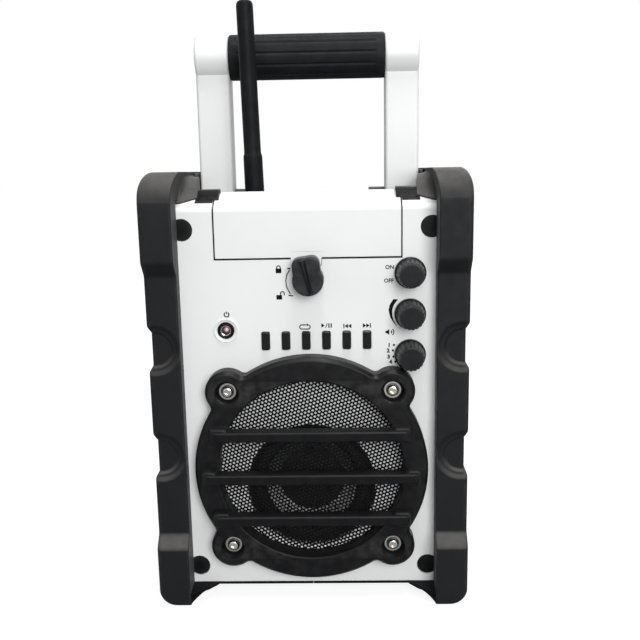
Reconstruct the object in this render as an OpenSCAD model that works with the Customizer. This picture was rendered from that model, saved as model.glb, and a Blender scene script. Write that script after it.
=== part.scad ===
/* [Housing] */
// Width of the housing shells
body_w = 204; // [200:1:250]
// Height of the front panel
body_h = 282; // [278:1:345]
// Depth from the front panel's face to the rear cover's face
body_d = 140; // [136:1:180]
// Wall thickness of the moulded shells
wall = 3; // [2.6:0.1:3.2]
// Depth of the front shell
front_shell_d = 24; // [24:0.5:26]
// Depth of the rear cover
rear_shell_d = 12; // [10:1:20]
// How far the rear deck lies below the front panel's top edge
valley_drop = 17; // [16:1:22]

/* [Bumpers] */
// Thickness of each bumper's side wall
bumper_side = 11; // [8:0.5:16]
// Width of the bumper's lip over the front panel
bumper_lip = 12; // [8:0.5:16]
// How far the thick ends of the bumpers stand in front of the panel
bumper_proud = 19.2; // [14:0.2:22]
// How far the bumpers' middle stretch stands in front of the panel
bumper_proud_mid = 10.8; // [8:0.2:13]
// How far the bumpers stand behind the rear cover
bumper_rear = 12; // [8:1:16]
// Height of the bumpers' feet below the housing
foot_h = 10; // [8:0.5:14]
// Height of the bumpers' top rails above the panel's top edge
rail_h = 23.5; // [20:0.5:28]
// Depth of the grooves round the bumpers
groove_t = 3.4; // [2:0.2:5]

/* [Compartment lid] */
// Width of the lid
lid_w = 130.5; // [120:0.5:134]
// Sideways place of the lid's middle
lid_x = 0.75; // [-2:0.25:2]
// Height of the lid's front wall
lid_h = 37.3; // [34:0.1:42]
// Thickness of the lid
lid_t = 3; // [2.4:0.1:3.2]
// Gap between the lid and the panel round it
lid_gap = 0.7; // [0.5:0.1:1]
// Diameter of the lid's hinge pins
lid_pin_d = 3; // [2.5:0.1:3.4]

/* [Controls] */
// Sideways place of the three rotary knobs
knob_x = 72; // [70:0.5:74]
// Distance of the top knob's axis below the panel's top edge
knob_top = 48.3; // [47:0.5:50]
// Distance between the knobs' axes
knob_pitch = 29.25; // [27:0.25:32]
// Diameter of a knob at its base
knob_d = 22.2; // [20:0.2:24]
// Height of a knob
knob_h = 15.5; // [12:0.5:18]
// Diameter of the control shafts
shaft_d = 6; // [5:0.1:6.4]
// Distance of the buttons' row below the panel's top edge
button_drop = 96; // [94:0.5:98]
// Distance between the buttons
button_pitch = 14.4; // [12:0.2:16]
// Width of a button
button_w = 5.7; // [5:0.1:7]
// Height of a button
button_h = 13.1; // [11:0.1:15]
// Travel of a button
button_travel = 1.2; // [0.8:0.1:1.5]
// Outer diameter of the indicator's bezel
bezel_d = 17.2; // [15:0.2:19]
// Diameter of the latch knob
latch_d = 21.8; // [19:0.2:23]

/* [Speaker] */
// Height of the speaker guard's middle above the housing's bottom edge
guard_z = 92.3; // [90:0.5:96]
// Outer diameter of the speaker guard
guard_d = 168; // [160:1:170]
// Diameter of the guard's opening
guard_open_d = 133.2; // [126:0.2:136]
// Thickness of the guard's ring
guard_t = 13; // [10:0.5:15]
// How far the guard's bars stand in front of the panel
bar_proud = 22; // [20:0.5:24]
// Height of the driver's axis above the housing's bottom edge
driver_z = 76; // [74:0.5:80]
// Outer diameter of the driver's surround
surround_d = 93; // [90:0.5:96]
// Travel of the cone each way
cone_travel = 2; // [1:0.1:2.4]

/* [Handle] */
// Diameter of the grip
grip_d = 31; // [28:0.5:34]
// Height of the grip's axis above the panel's top edge
grip_rise = 105.2; // [98:0.2:120]
// Width of each handle leg
leg_w = 25.5; // [22:0.5:28]
// Depth of each handle leg
leg_d = 22; // [18:0.5:24]
// Depth of the handle's pivot behind the panel's face
pivot_d = 88; // [84:1:100]
// Diameter of the handle's pivot pins
pivot_pin_d = 8; // [6:0.5:10]
// Diameter of the steel tube in the grip
core_d = 16; // [12:0.5:18]

/* [Antenna] */
// Sideways place of the antenna's foot
antenna_x = -38.5; // [-44:0.5:-30]
// Diameter of the antenna's base sleeve
antenna_base_d = 14.3; // [13:0.1:16]
// Height of the antenna's base sleeve
antenna_base_h = 29.5; // [26:0.5:34]
// Length of the flexible whip above the sleeve
antenna_whip_h = 108.5; // [90:0.5:120]
// Lean of the antenna to the left, in degrees
antenna_lean = 1; // [0:0.5:3]

/* [Power] */
// Width of the battery bay
bay_w = 84; // [80:1:96]
// Height of the battery bay
bay_h = 90; // [86:1:100]

/* [Hidden] */
$fn = 64;

eps = 0.01;                       // overlap of cutting tools
seat = 0.2;                       // gap between moulded pieces that sit on each other
run = 0.3;                        // gap between moving pieces
pin_run = 0.08;                   // radial clearance of pins in their bores

guard_front = max(bar_proud, bumper_proud);
y0 = guard_front - (guard_front + body_d + bumper_rear) / 2;   // the front panel's face
top = foot_h + body_h;            // the front panel's top edge
half = body_w / 2;
outer_x = half + bumper_side;
lip_x = outer_x - bumper_lip - bumper_side;
y_rear = y0 + body_d;             // the rear cover's face
y_split = y_rear - rear_shell_d;  // where the rear cover meets the housing
deck = top + 4;                   // top of the front deck and of the side rails
valley = top - valley_drop;       // the rear deck under the folded handle
valley_d = 66;                    // depth behind the panel where the rear deck starts
rail_w = 17;                      // width of the housing's side rails
rail_x = half - rail_w;           // inner face of the side rails

slope = 0.5;                      // rise of the panel's top for each mm of depth
edge_r = 4.5;                     // radius of the panel's top front edge
slope_a = atan(slope);

hinge_d = 19.2;                   // depth of the lid's hinge axis
hinge_z = top + 4.2;              // height of the lid's hinge axis
barrel_r = 4.2;
lid_l = lid_x - lid_w / 2;
lid_r = lid_x + lid_w / 2;
bracket_w = 14.4;
bracket_over = 3.2;               // how far each bracket reaches over the lid's corner
bracket_front = 9.7;              // depth of the brackets' front faces behind the panel's face
bracket_top = 10.4;               // height of the brackets above the panel's top edge
bracket_r = 9.9;                  // rounding of the brackets about the hinge axis
flange_front = 6.6;               // depth of the front edge of the flanges under the brackets
flange_w = 12.2;                  // width of those flanges
flange_top = 2.9;
bracket_floor = 0.5;              // height of the brackets' seats above the panel's top edge
ledge_w = 3.6;                    // width of the ledge under the lid's edge
ledge_d = 5.6;                    // depth of that ledge
ledge_t = 2.8;
tray_t = 2.4;
tray_front = ledge_d + ledge_t + run;
tray_deep = 42;                   // depth of the tray's back wall behind the panel
tray_floor = 58;                  // depth of the tray's floor below the top edge

latch_x = 0.9;
latch_drop = 51.4;                // distance of the latch axis below the top edge
latch_shank_d = 9;
lobe_w = 19.6;                    // width of the latch knob's lobe
lobe_rise = 17.2;                 // height of the lobe above the latch axis
lobe_r = 5;
plate_l = -12;                    // left and right edges of the plate under the lobe
plate_r = 9.4;
plate_low = 5.8;                  // how far the plate reaches below the lid's edge
plate_high = 4.5;                 // and above it
plate_gap = 0.3;                  // gap between that plate and the lid

knob_z = [for (i = [0:2]) top - knob_top - i * knob_pitch];
button_x = [for (i = [0:5]) 5.6 + (i - 2.5) * button_pitch];
button_z = top - button_drop;
bezel_x = -58.5;
bezel_z = top - 88;
bush_d = shaft_d + 1;             // diameter of the controls' threaded bushes
nut_af = bush_d + 3;              // across the flats of their nuts
nut_t = 2;
button_proud = 1.9;               // how far a button stands in front of the panel
button_flange = 1.2;              // thickness of its flange behind the panel
button_stop = 8.3;                // depth of the switches' plungers behind the panel
board_front = 12;                 // depth of the circuit board behind the buttons
board_t = 1.6;                    // thickness of the circuit boards

corner_top = 16.4;                // corner screws' distance below the top edge
corner_low = 13.2;                // and above the bottom edge
corner_in = 15;                   // and in from the housing's top corners
corner_in_low = 16.5;
corner_head_r = 7.7;
corner_well = 5;                  // depth of the screw wells
boss_r = 6;

guard_x = 0.5;                    // sideways place of the guard's axis
gz = foot_h + guard_z;
guard_r = guard_d / 2;
open_r = guard_open_d / 2;
guard_wall = guard_t - 2.6;       // height of the guard's side wall, below its bevel
guard_bevel = 2.5;                // width of that bevel
guard_lip = 1.6;                  // bevel round the guard's opening
ear_r = 15.8;
ear_off = 58.7;
ear_seat = 6;                     // height of the screws' seats above the panel
ear_seat_r = 7.4;
ear_mouth_r = 8.8;                // radius of the wells over those seats at the front
washer_t = 1;
bar_h = 7.2;
pad_over = 2.5;                   // how far the pads under the bars' ends reach past the bars
pad_h = 4;                        // height of those pads above the ring
bar_z = [28.7, -3.1, -34.6];      // heights of the bars' middles from the guard's axis
bar_half = [70.3, 77.5, 70.2];
mesh_r = open_r + 3.4;
mesh_t = 0.8;
dish_d = 1.2;                     // depth of the baffle's face behind the panel's face
baffle_t = 5.8;                   // thickness of the baffle that the driver is bolted to
dz = foot_h + driver_z;
sur_r = surround_d / 2;
cone_r = sur_r - 13;
cap_r = 24.3;
cap_d = 10;                       // depth of the dust cap's rim
cap_h = 8;                        // height of its dome
coil_r = 13;
former_t = 0.5;
winding_t = 0.9;
driver_y = y0 + dish_d + baffle_t;    // the baffle's rear face, which carries the driver
basket_r = sur_r + 7.5;
basket_h = 21;                    // from the driver's flange to its top plate
magnet_r = 36;
magnet_t = 14;
plate_t = 5;

py = y0 + pivot_d;                // the handle's pivot axis
pz = top - 3;
grip_z = top + grip_rise;
leg_out = rail_x - 0.7;
leg_in = leg_out - leg_w;
foot_r = 13;
leg_end_r = 14.6;
lug_w = 12;
lug_r = 10;

ay = y0 + 50;                     // the antenna's foot
whip_r0 = 6.4;
whip_r1 = 5.5;

bay_front = 72;                   // depth of the bay's inner end behind the panel
bay_z = foot_h + 20;
bay_t = 2.6;
door_t = 3;
door_over = 5;                    // how far the door reaches past the bay's mouth
door_pin_d = 3;
door_z = bay_z - door_over - 2;   // height of the door's hinge axis
door_y = y_rear - 3.4;            // depth of the door's hinge axis
board_y = y0 + 62;
board_z = top - 112;
board_w = 172;
board_h = 74;
jack_x = 70;
jack_z = foot_h + 58;

white = "#f1f1ee";
rubber = "#33343a";
moulded = "#222327";
steel = "#b9bcc0";

// points on an arc round (cx, cy)
function arc(cx, cy, r, a0, a1, n = 8) =
    [for (i = [0:n]) let (a = a0 + (a1 - a0) * i / n) [cx + r * cos(a), cy + r * sin(a)]];

// a side view [depth, height], extruded from x_a to x_b
module side_slab(x_a, x_b, pts)
    translate([x_a, 0, 0]) rotate([90, 0, 90]) linear_extrude(x_b - x_a) polygon(pts);

// a front view [x, height], extruded from y_a to y_b
module front_slab(y_a, y_b, pts)
    translate([0, y_b, 0]) rotate([90, 0, 0]) linear_extrude(y_b - y_a) polygon(pts);

// a block between two corners
module block(low, high) translate(low) cube(high - low);

module y_cyl(x, z, y_a, y_b, r, r_b = -1, fn = 0)
    translate([x, y_a, z]) rotate([-90, 0, 0])
        cylinder(r1 = r, r2 = r_b < 0 ? r : r_b, h = y_b - y_a, $fn = fn > 0 ? fn : $fn);

module x_cyl(y, z, x_a, x_b, r)
    translate([x_a, y, z]) rotate([0, 90, 0]) cylinder(r = r, h = x_b - x_a);

// the screws' places, given as [x, z]
corner_xz = [
    [-half + corner_in, top - corner_top], [half - corner_in, top - corner_top],
    [-half + corner_in_low, foot_h + corner_low], [half - corner_in_low, foot_h + corner_low]
];
ear_xz = [for (sx = [-1, 1], sz = [-1, 1]) [guard_x + sx * ear_off, gz + sz * ear_off]];
rear_x = half - 22;
rear_xz = [for (sx = [-1, 1], z = [foot_h + 12, top - 130, valley - 14]) [sx * rear_x, z]];

// the panel's outline over its top front edge, from z_low up and back to depth d_end,
// moved inwards by t
function top_edge(t, z_low, d_end) = concat(
    [[y0 + t, z_low]],
    arc(y0 + edge_r, top - edge_r, edge_r - t, 180, 90 + slope_a),
    [[y0 + d_end, top + (d_end - edge_r) * slope - edge_r + (edge_r - t) / cos(slope_a)]]);

// ---------- housing ----------

module front_outer()
    side_slab(-half, half, concat(top_edge(0, foot_h, 20), [
        [y0 + front_shell_d, top + (20 - edge_r) * slope + edge_r * (1 / cos(slope_a) - 1)],
        [y0 + front_shell_d, foot_h]]));

module front_panel() color(white) difference() {
    union() {
        difference() {
            front_outer();
            side_slab(-half + wall, half - wall, concat(top_edge(wall, foot_h + wall, 20), [
                [y0 + front_shell_d + 1, top + 5.4], [y0 + front_shell_d + 1, foot_h + wall]]));
        }
        // ledge that the lid's edge closes over, and the wall that carries it
        difference() {
            block([lid_l - lid_gap - 2, y0 + wall - eps, top - lid_h - lid_gap - 2],
                  [lid_r + lid_gap + 2, y0 + ledge_d + ledge_t, top - 3.5]);
            block([lid_l + ledge_w, y0, top - lid_h + ledge_w], [lid_r - ledge_w, y0 + 20, top + 9]);
        }
        // pads under the hinge brackets and their flanges
        for (s = [-1, 1]) {
            x_a = s < 0 ? lid_l - flange_w - 2.5 : lid_r;
            block([x_a, y0 + flange_front - 1.2, top - 2.5],
                  [x_a + flange_w + 2.5, y0 + front_shell_d, top + bracket_floor + 0.1]);
        }
        // baffle behind the mesh
        y_cyl(guard_x, gz, y0 + wall - eps, driver_y, mesh_r + 3);
        y_cyl(0, dz, y0 + wall - eps, driver_y, basket_r + 1);
        for (p = corner_xz) y_cyl(p[0], p[1], y0 + eps, y0 + corner_well + 2, corner_head_r + 2.2);
        for (p = corner_xz) y_cyl(p[0], p[1], y0 + eps, y0 + front_shell_d, boss_r);
        for (p = ear_xz) y_cyl(p[0], p[1], y0 + eps, y0 + front_shell_d - 6, boss_r - 1);
        // boss behind the latch
        y_cyl(latch_x, top - latch_drop, y0 + eps, y0 + wall + 0.6, latch_shank_d / 2 + 3);
    }
    lid_opening_cut();
    // bracket seats
    for (s = [-1, 1]) bracket_seat(s);
    // mesh rebate and the baffle's face behind it
    y_cyl(guard_x, gz, y0 - 1, y0 + mesh_t + 0.1, mesh_r + seat);
    y_cyl(guard_x, gz, y0 - 1, y0 + dish_d, open_r + 1);
    y_cyl(0, dz, y0 - 1, y0 + 30, sur_r + 0.7);
    for (p = speaker_screw_xz) y_cyl(p[0], p[1], y0 + dish_d + 0.8, y0 + 30, 1.6);
    for (p = corner_xz) {
        y_cyl(p[0], p[1], y0 - 1, y0 + corner_well, corner_head_r + seat);
        y_cyl(p[0], p[1], y0 - 1, y0 + 40, 2.2);
    }
    for (p = ear_xz) y_cyl(p[0], p[1], y0 - 1, y0 + front_shell_d - 8, 1.8);
    for (z = knob_z) y_cyl(knob_x, z, y0 - 1, y0 + 10, bush_d / 2 + seat);
    for (x = button_x) button_shape(x, y0 - 1, y0 + 10, run);
    y_cyl(bezel_x, bezel_z, y0 - 1, y0 + 10, bezel_d / 2 - 2);
    y_cyl(latch_x, top - latch_drop, y0 - 1, y0 + 10, latch_shank_d / 2 + pin_run);
}

// the lid's opening through the front and top, less the plate under the latch
module lid_opening_cut() {
    difference() {
        block([lid_l - lid_gap, y0 - 1, top - lid_h - lid_gap],
              [lid_r + lid_gap, y0 + front_shell_d + 1, top + 20]);
        block([lid_l - 10, y0 + ledge_d, top - lid_h - 20],
              [lid_l + ledge_w, y0 + ledge_d + ledge_t + eps, top - 3.5]);
        block([lid_r - ledge_w, y0 + ledge_d, top - lid_h - 20],
              [lid_r + 10, y0 + ledge_d + ledge_t + eps, top - 3.5]);
        block([lid_l - 10, y0 + ledge_d, top - lid_h - 20],
              [lid_r + 10, y0 + ledge_d + ledge_t + eps, top - lid_h + ledge_w]);
    }
    // recess for the latch plate
    latch_plate_shape(y0 - 1, y0 + 1.2, seat);
}

// left edges of a hinge bracket and of its flange, s = -1 left, 1 right
function bracket_x(s) = s < 0 ? lid_l - bracket_w + bracket_over : lid_r - bracket_over;
function flange_x(s) = s < 0 ? lid_l - 1 - flange_w : lid_r + 1;

// the seat of a hinge bracket and its flange
module bracket_seat(s) {
    block([bracket_x(s) - seat, y0 + bracket_front - seat, top + bracket_floor],
          [bracket_x(s) + bracket_w + seat, y0 + front_shell_d + 1, top + 30]);
    block([flange_x(s) - seat, y0 + flange_front - seat, top + bracket_floor],
          [flange_x(s) + flange_w + seat, y0 + front_shell_d + 1, top + 30]);
}

// outline of the plate under the latch's lobe, with round lower corners, grown by g
module latch_plate_shape(y_a, y_b, g) {
    r = 3 + g;
    x_a = latch_x + plate_l - g;
    x_b = latch_x + plate_r + g;
    low = top - lid_h - plate_low - g;
    high = top - lid_h + plate_high + g;
    front_slab(y_a, y_b, concat([[x_b, high], [x_a, high]],
        arc(x_a + r, low + r, r, 180, 270, 5), arc(x_b - r, low + r, r, 270, 360, 5)));
}

module latch_plate() color(white) difference() {
    union() {
        latch_plate_shape(y0, y0 + 1.2, 0);
        block([latch_x + plate_l, y0, top - lid_h - lid_gap],
              [latch_x + plate_r, y0 + ledge_d, top - lid_h + plate_high]);
    }
    y_cyl(latch_x, top - latch_drop, y0 - 1, y0 + 5, latch_shank_d / 2 + 3);
}

module housing_block(y_a, y_b) difference() {
    block([-half, y_a, foot_h], [half, y_b, deck]);
    block([-rail_x, y0 + valley_d, valley], [rail_x, y_rear + 1, deck + 1]);
}

module main_housing() color(white) difference() {
    union() {
        difference() {
            housing_block(y0 + front_shell_d, y_split);
            side_slab(-half + wall, half - wall, [
                [y0, foot_h + wall], [y_rear, foot_h + wall], [y_rear, valley - wall],
                [y0 + valley_d - wall, valley - wall], [y0 + valley_d - wall, deck - wall],
                [y0, deck - wall]]);
        }
        // corner screw bosses, each tied to the side wall
        for (p = corner_xz) {
            y_cyl(p[0], p[1], y0 + front_shell_d, y0 + front_shell_d + 22, boss_r);
            s = p[0] < 0 ? -1 : 1;
            block([min(p[0], s * (half - 1)), y0 + front_shell_d, p[1] - 1.2],
                  [max(p[0], s * (half - 1)), y0 + front_shell_d + 22, p[1] + 1.2]);
        }
        // rear screw bosses, each tied to the side wall
        for (p = rear_xz) {
            y_cyl(p[0], p[1], y_split - 24, y_split, boss_r - 1);
            s = p[0] < 0 ? -1 : 1;
            block([min(p[0], s * (half - 1)), y_split - 24, p[1] - 1.2],
                  [max(p[0], s * (half - 1)), y_split, p[1] + 1.2]);
        }
        // rails that carry the main board
        for (s = [-1, 1], z = [board_z - board_h / 2 + 6, board_z + board_h / 2 - 6])
            block([s < 0 ? -half + 1 : board_w / 2 - 10, board_y - 8, z - 4],
                  [s < 0 ? -board_w / 2 + 10 : half - 1, board_y, z + 4]);
        // lugs inside the handle's legs
        for (s = [-1, 1]) {
            x_a = s < 0 ? -leg_in + 0.6 : leg_in - 0.6 - lug_w;
            block([x_a, py - lug_r, valley - 1], [x_a + lug_w, py + lug_r, pz]);
            x_cyl(py, pz, x_a, x_a + lug_w, lug_r);
        }
    }
    // the lid's hinge barrel turns in front of the deck
    block([lid_l - lid_gap, y0, top - 1.1], [lid_r + lid_gap, y0 + front_shell_d + 0.6, deck + 1]);
    for (p = corner_xz) y_cyl(p[0], p[1], y0, y0 + front_shell_d + 20, 1.8);
    for (p = rear_xz) y_cyl(p[0], p[1], y_split - 20, y_rear, 1.5);
    for (s = [-1, 1]) {
        x_a = s < 0 ? -rail_x - 12 : leg_in - 0.6 - lug_w - 1;
        x_b = s < 0 ? -leg_in + 0.6 + lug_w + 1 : rail_x + 12;
        x_cyl(py, pz, x_a, x_b, pivot_pin_d / 2);
    }
    // hole for the antenna's threaded foot
    translate([antenna_x, ay, deck - 10]) cylinder(d = 8.4, h = 20);
}

module rear_cover() color(moulded) difference() {
    union() {
        difference() {
            housing_block(y_split, y_rear);
            side_slab(-half + wall, half - wall, [
                [y0, foot_h + wall], [y_rear - wall, foot_h + wall],
                [y_rear - wall, valley - wall], [y0, valley - wall]]);
        }
        // the battery bay's walls
        block([-bay_w / 2 - bay_t, y0 + bay_front - bay_t, bay_z - bay_t],
              [bay_w / 2 + bay_t, y_rear - wall + eps, bay_z + bay_h + bay_t]);
        // frame under the door's rebate
        block([-bay_w / 2 - door_over - 3, y_rear - door_t - 3.4, door_z - 6],
              [bay_w / 2 + door_over + 3, y_rear - eps, bay_z + bay_h + door_over + 3]);
        for (p = rear_xz) y_cyl(p[0], p[1], y_split, y_rear - eps, boss_r - 1);
        // housing of the power inlet
        y_cyl(jack_x, jack_z, y_split, y_rear - eps, 9);
    }
    block([-bay_w / 2, y0 + bay_front, bay_z], [bay_w / 2, y_rear + 1, bay_z + bay_h]);
    // rebate for the door, open at the bottom for its hinge
    block([-bay_w / 2 - door_over - run, y_rear - door_t - 0.6, door_z],
          [bay_w / 2 + door_over + run, y_rear + 1, bay_z + bay_h + door_over + run]);
    x_cyl(door_y, door_z, -bay_w / 2 - door_over - run, bay_w / 2 + door_over + run, 3.4 + run);
    block([-bay_w / 2 - door_over - run, door_y, door_z - 3.4 - run],
          [bay_w / 2 + door_over + run, y_rear + 1, door_z]);
    x_cyl(door_y, door_z, -bay_w / 2 - 11, bay_w / 2 + 11, door_pin_d / 2);
    // notch for the door's snap tongue
    block([-9, y_rear - 8, bay_z + bay_h - 1], [9, y_rear - 3, bay_z + bay_h + 1.9]);
    for (p = rear_xz) {
        y_cyl(p[0], p[1], y0, y_rear + 1, 1.9);
        y_cyl(p[0], p[1], y_rear - 4, y_rear + 1, 3.8);
    }
    y_cyl(jack_x, jack_z, y0, y_rear + 1, 5.6);
    y_cyl(jack_x, jack_z, y_rear - 3, y_rear + 1, 7.6);
    // cooling slots above the bay
    for (x = [-42:12:42], z = [top - 96, top - 72])
        block([x - 2, y_rear - 10, z], [x + 2, y_rear + 1, z + 18]);
}

module corner_screws() color(moulded) for (p = corner_xz) difference() {
    union() {
        y_cyl(p[0], p[1], y0 + 1.2, y0 + corner_well, corner_head_r);
        y_cyl(p[0], p[1], y0 + corner_well - eps, y0 + front_shell_d + 18, 1.8);
    }
    y_cyl(p[0], p[1], y0, y0 + 3.6, 2.8, fn = 6);
}

module rear_screws() color(steel) for (p = rear_xz) difference() {
    union() {
        y_cyl(p[0], p[1], y_rear - 4, y_rear - 1.2, 3.4);
        y_cyl(p[0], p[1], y_split - 18, y_rear - 4 + eps, 1.5);
    }
    y_cyl(p[0], p[1], y_rear - 2.8, y_rear, 1.6, fn = 6);
}

// ---------- bumpers ----------

saddle_x = lid_r + 1 + flange_w + run;
// the saddle's top, as [depth behind the panel's face, height above its top edge]
saddle_top = [[valley_d - 1, 21], [43, 20.6], [36, 16.6], [28, 12.9], [20, 9.5], [1, 0]];
foot_proud = 8;                   // how far the feet under the housing stand in front of it
belt_t = 1.8;                     // depth of the belt's underside below the housing
belt_proud = 1;
zone_r = 13;
zone_z = [foot_h + 182.5, foot_h + 103.1];   // middles of the two grooves

module groove(z) {
    h = zone_r * 2;
    // round-ended recess in the front and rear faces
    for (f = [[y0 - bumper_proud - 1, y0 - bumper_proud_mid + groove_t],
              [y_rear + bumper_rear / 2 - groove_t * 0.7, y_rear + bumper_rear + 1]]) {
        y_cyl(lip_x + 5 + zone_r, z, f[0], f[1], zone_r);
        block([lip_x + 5 + zone_r, f[0], z - zone_r], [outer_x + 1, f[1], z + zone_r]);
    }
    block([outer_x - groove_t * 0.7, y0 - 30, z - zone_r], [outer_x + 1, y_rear + 30, z + zone_r]);
}

// outline of a bumper in the side view
function cage_side() = let (
        r = 23, yr = y_rear + bumper_rear, t = top + rail_h, yf = y0 - bumper_proud,
        ym = y0 - bumper_proud_mid, mid = yr - bumper_rear / 2) concat(
    arc(yf + 6, 6, 6, 270, 180, 4),
    [[yf, foot_h + 35.5], [ym, foot_h + 43.5], [ym, top - 47], [yf, top - 37]],
    arc(yf + r, t - r, r, 180, 90, 10),
    arc(yr - r, t - r, r, 90, 0, 10),
    [[yr, top - 37], [mid, top - 47], [mid, foot_h + 43.5], [yr, foot_h + 35.5]],
    arc(yr - 6, 6, 6, 0, -90, 4));

// outline of a right bumper in the front view
function cage_front(x_a) = let (t = top + rail_h) concat(
    [[x_a, 0], [outer_x - 11, 0]], arc(outer_x - 11, 11, 11, 270, 360, 8),
    [for (i = [0:10]) let (a = 90 * i / 10) [outer_x - 13 + 13 * cos(a), t - 25 + 25 * sin(a)]],
    [[x_a, t]]);

module bumper_right() color(rubber) difference() {
    union() {
        intersection() {
            side_slab(lip_x, outer_x, cage_side());
            front_slab(y0 - 40, y_rear + 40, cage_front(lip_x - 1));
        }
        // saddle between the rail and the handle's leg; its front edge runs slantwise
        // over the panel's top
        difference() {
            side_slab(saddle_x, lip_x + 3, concat(
                [[y0 + 1, deck - 6], [y0 + valley_d - 1, deck - 6]],
                [for (p = saddle_top) [y0 + p[0], top + p[1]]]));
            translate([saddle_x - 1, y0 - 1, top - 10]) linear_extrude(40)
                polygon([[0, 0], [lip_x - saddle_x + 1, 0], [lip_x - saddle_x + 1, 6.2], [0, 11.9]]);
        }
        side_slab(rail_x + 0.5, lip_x + 3, [
            [y0 + valley_d - 2, deck - 2], [y_rear, deck - 2], [y_rear, top + rail_h - 2],
            [y0 + valley_d - 2, top + rail_h - 2]]);
        // foot under the housing, with a slanted inner face
        front_slab(y0 - foot_proud, y_rear + foot_proud, [
            [lip_x - 6, 0], [lip_x + 3, 0], [lip_x + 3, foot_h - seat],
            [lip_x - 18, foot_h - seat], [lip_x - 18, foot_h - belt_t]]);
        // belt under the housing, which meets the other bumper's in the middle
        block([seat / 2, y0 - belt_proud, foot_h - belt_t],
              [lip_x - 10, y_rear + belt_proud, foot_h - seat]);
    }
    // the housing inside the bumper
    side_slab(0, half + seat, concat(top_edge(-seat, foot_h - seat, 20), [
        [y0 + front_shell_d + seat, top + 8.8], [y0 + front_shell_d + seat, deck + seat],
        [y_rear + seat, deck + seat], [y_rear + seat, foot_h - seat]]));
    for (z = zone_z) groove(z);
    // the handle's leg swings past the rail
    block([0, y0 + valley_d - 0.5, top - 60], [rail_x + 0.5, y_rear + 30, top + 60]);
}

module bumper_left() mirror([1, 0, 0]) bumper_right();

// ---------- compartment ----------

module hinge_brackets() color(moulded) for (s = [-1, 1]) {
    x_a = bracket_x(s);
    difference() {
        union() {
            intersection() {
                block([x_a, y0 + bracket_front, top + bracket_floor],
                      [x_a + bracket_w, y0 + front_shell_d - 0.6, top + bracket_top]);
                x_cyl(y0 + hinge_d, hinge_z, x_a - 1, x_a + bracket_w + 1, bracket_r);
            }
            block([flange_x(s), y0 + flange_front, top + bracket_floor],
                  [flange_x(s) + flange_w, y0 + bracket_front + 3, top + flange_top]);
        }
        x_cyl(y0 + hinge_d, hinge_z, s < 0 ? x_a + 1.5 : x_a - 1,
              s < 0 ? x_a + bracket_w + 1 : x_a + bracket_w - 1.5, lid_pin_d / 2);
    }
}

module hinge_pins() color(steel) for (s = [-1, 1]) {
    x_a = s < 0 ? bracket_x(s) + 1.5 : bracket_x(s) - 13;
    x_cyl(y0 + hinge_d, hinge_z, x_a, x_a + bracket_w - 1.5 + 13, lid_pin_d / 2);
}

module compartment_lid() color(white) difference() {
    union() {
        side_slab(lid_l, lid_r, concat(
            top_edge(0, top - lid_h, 18.5),
            [for (i = [len(top_edge(lid_t, 0, 18.5)) - 1:-1:0]) top_edge(lid_t, top - lid_h, 18.5)[i]]));
        x_cyl(y0 + hinge_d, hinge_z, lid_l + bracket_over + 0.4, lid_r - bracket_over - 0.4, barrel_r);
    }
    // corners cut back for the brackets
    for (s = [-1, 1]) {
        x_a = s < 0 ? lid_l - 1 : lid_r - bracket_over - 0.4;
        block([x_a, y0 + hinge_d - bracket_r - 0.4, top - 4],
              [x_a + bracket_over + 1.4, y0 + 30, top + 20]);
    }
    for (s = [-1, 1]) {
        x_a = s < 0 ? lid_l - 1 : lid_r - bracket_over - 14;
        x_cyl(y0 + hinge_d, hinge_z, x_a, x_a + bracket_over + 15, lid_pin_d / 2 + pin_run);
    }
    // notch over the latch plate
    block([latch_x + plate_l - plate_gap, y0 - 1, top - lid_h - 1],
          [latch_x + plate_r + plate_gap, y0 + lid_t + 1, top - lid_h + plate_high + plate_gap]);
}

module lid_seal() color("#3a3b3e") difference() {
    block([lid_l + 0.6, y0 + lid_t, top - lid_h + 0.6], [lid_r - 0.6, y0 + ledge_d - 0.4, top - 6]);
    block([lid_l + 3, y0, top - lid_h + 3], [lid_r - 3, y0 + 10, top]);
    block([latch_x + plate_l - 1.4, y0, top - lid_h - 1],
          [latch_x + plate_r + 1.4, y0 + 10, top - lid_h + plate_high + 1]);
}

module device_tray() color("#3c3d42") difference() {
    w_l = lid_l + ledge_w + 0.25;
    w_r = lid_r - ledge_w - 0.25;
    low = top - lid_h + ledge_w + 0.25;
    side_slab(w_l, w_r, [
        [y0 + ledge_d, low], [y0 + tray_front, low], [y0 + tray_front, top - tray_floor],
        [y0 + tray_deep, top - tray_floor], [y0 + tray_deep, top - 1], [y0 + 25.2, top - 1],
        [y0 + 25.2, top - 3.6], [y0 + ledge_d, top - 3.6]]);
    side_slab(w_l + tray_t, w_r - tray_t, [
        [y0 - 1, low + tray_t], [y0 + tray_front + tray_t, low + tray_t],
        [y0 + tray_front + tray_t, top - tray_floor + tray_t],
        [y0 + tray_deep - tray_t, top - tray_floor + tray_t], [y0 + tray_deep - tray_t, top - 3.4],
        [y0 + 25.2 - tray_t, top - 3.4], [y0 + 25.2 - tray_t, top + 1], [y0 - 1, top + 1]]);
    // holes for the sockets in the tray's right wall
    for (y = [y0 + 24, y0 + 38]) block([w_r - tray_t - 1, y - 4, top - 34], [w_r + 1, y + 4, top - 18]);
}

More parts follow.
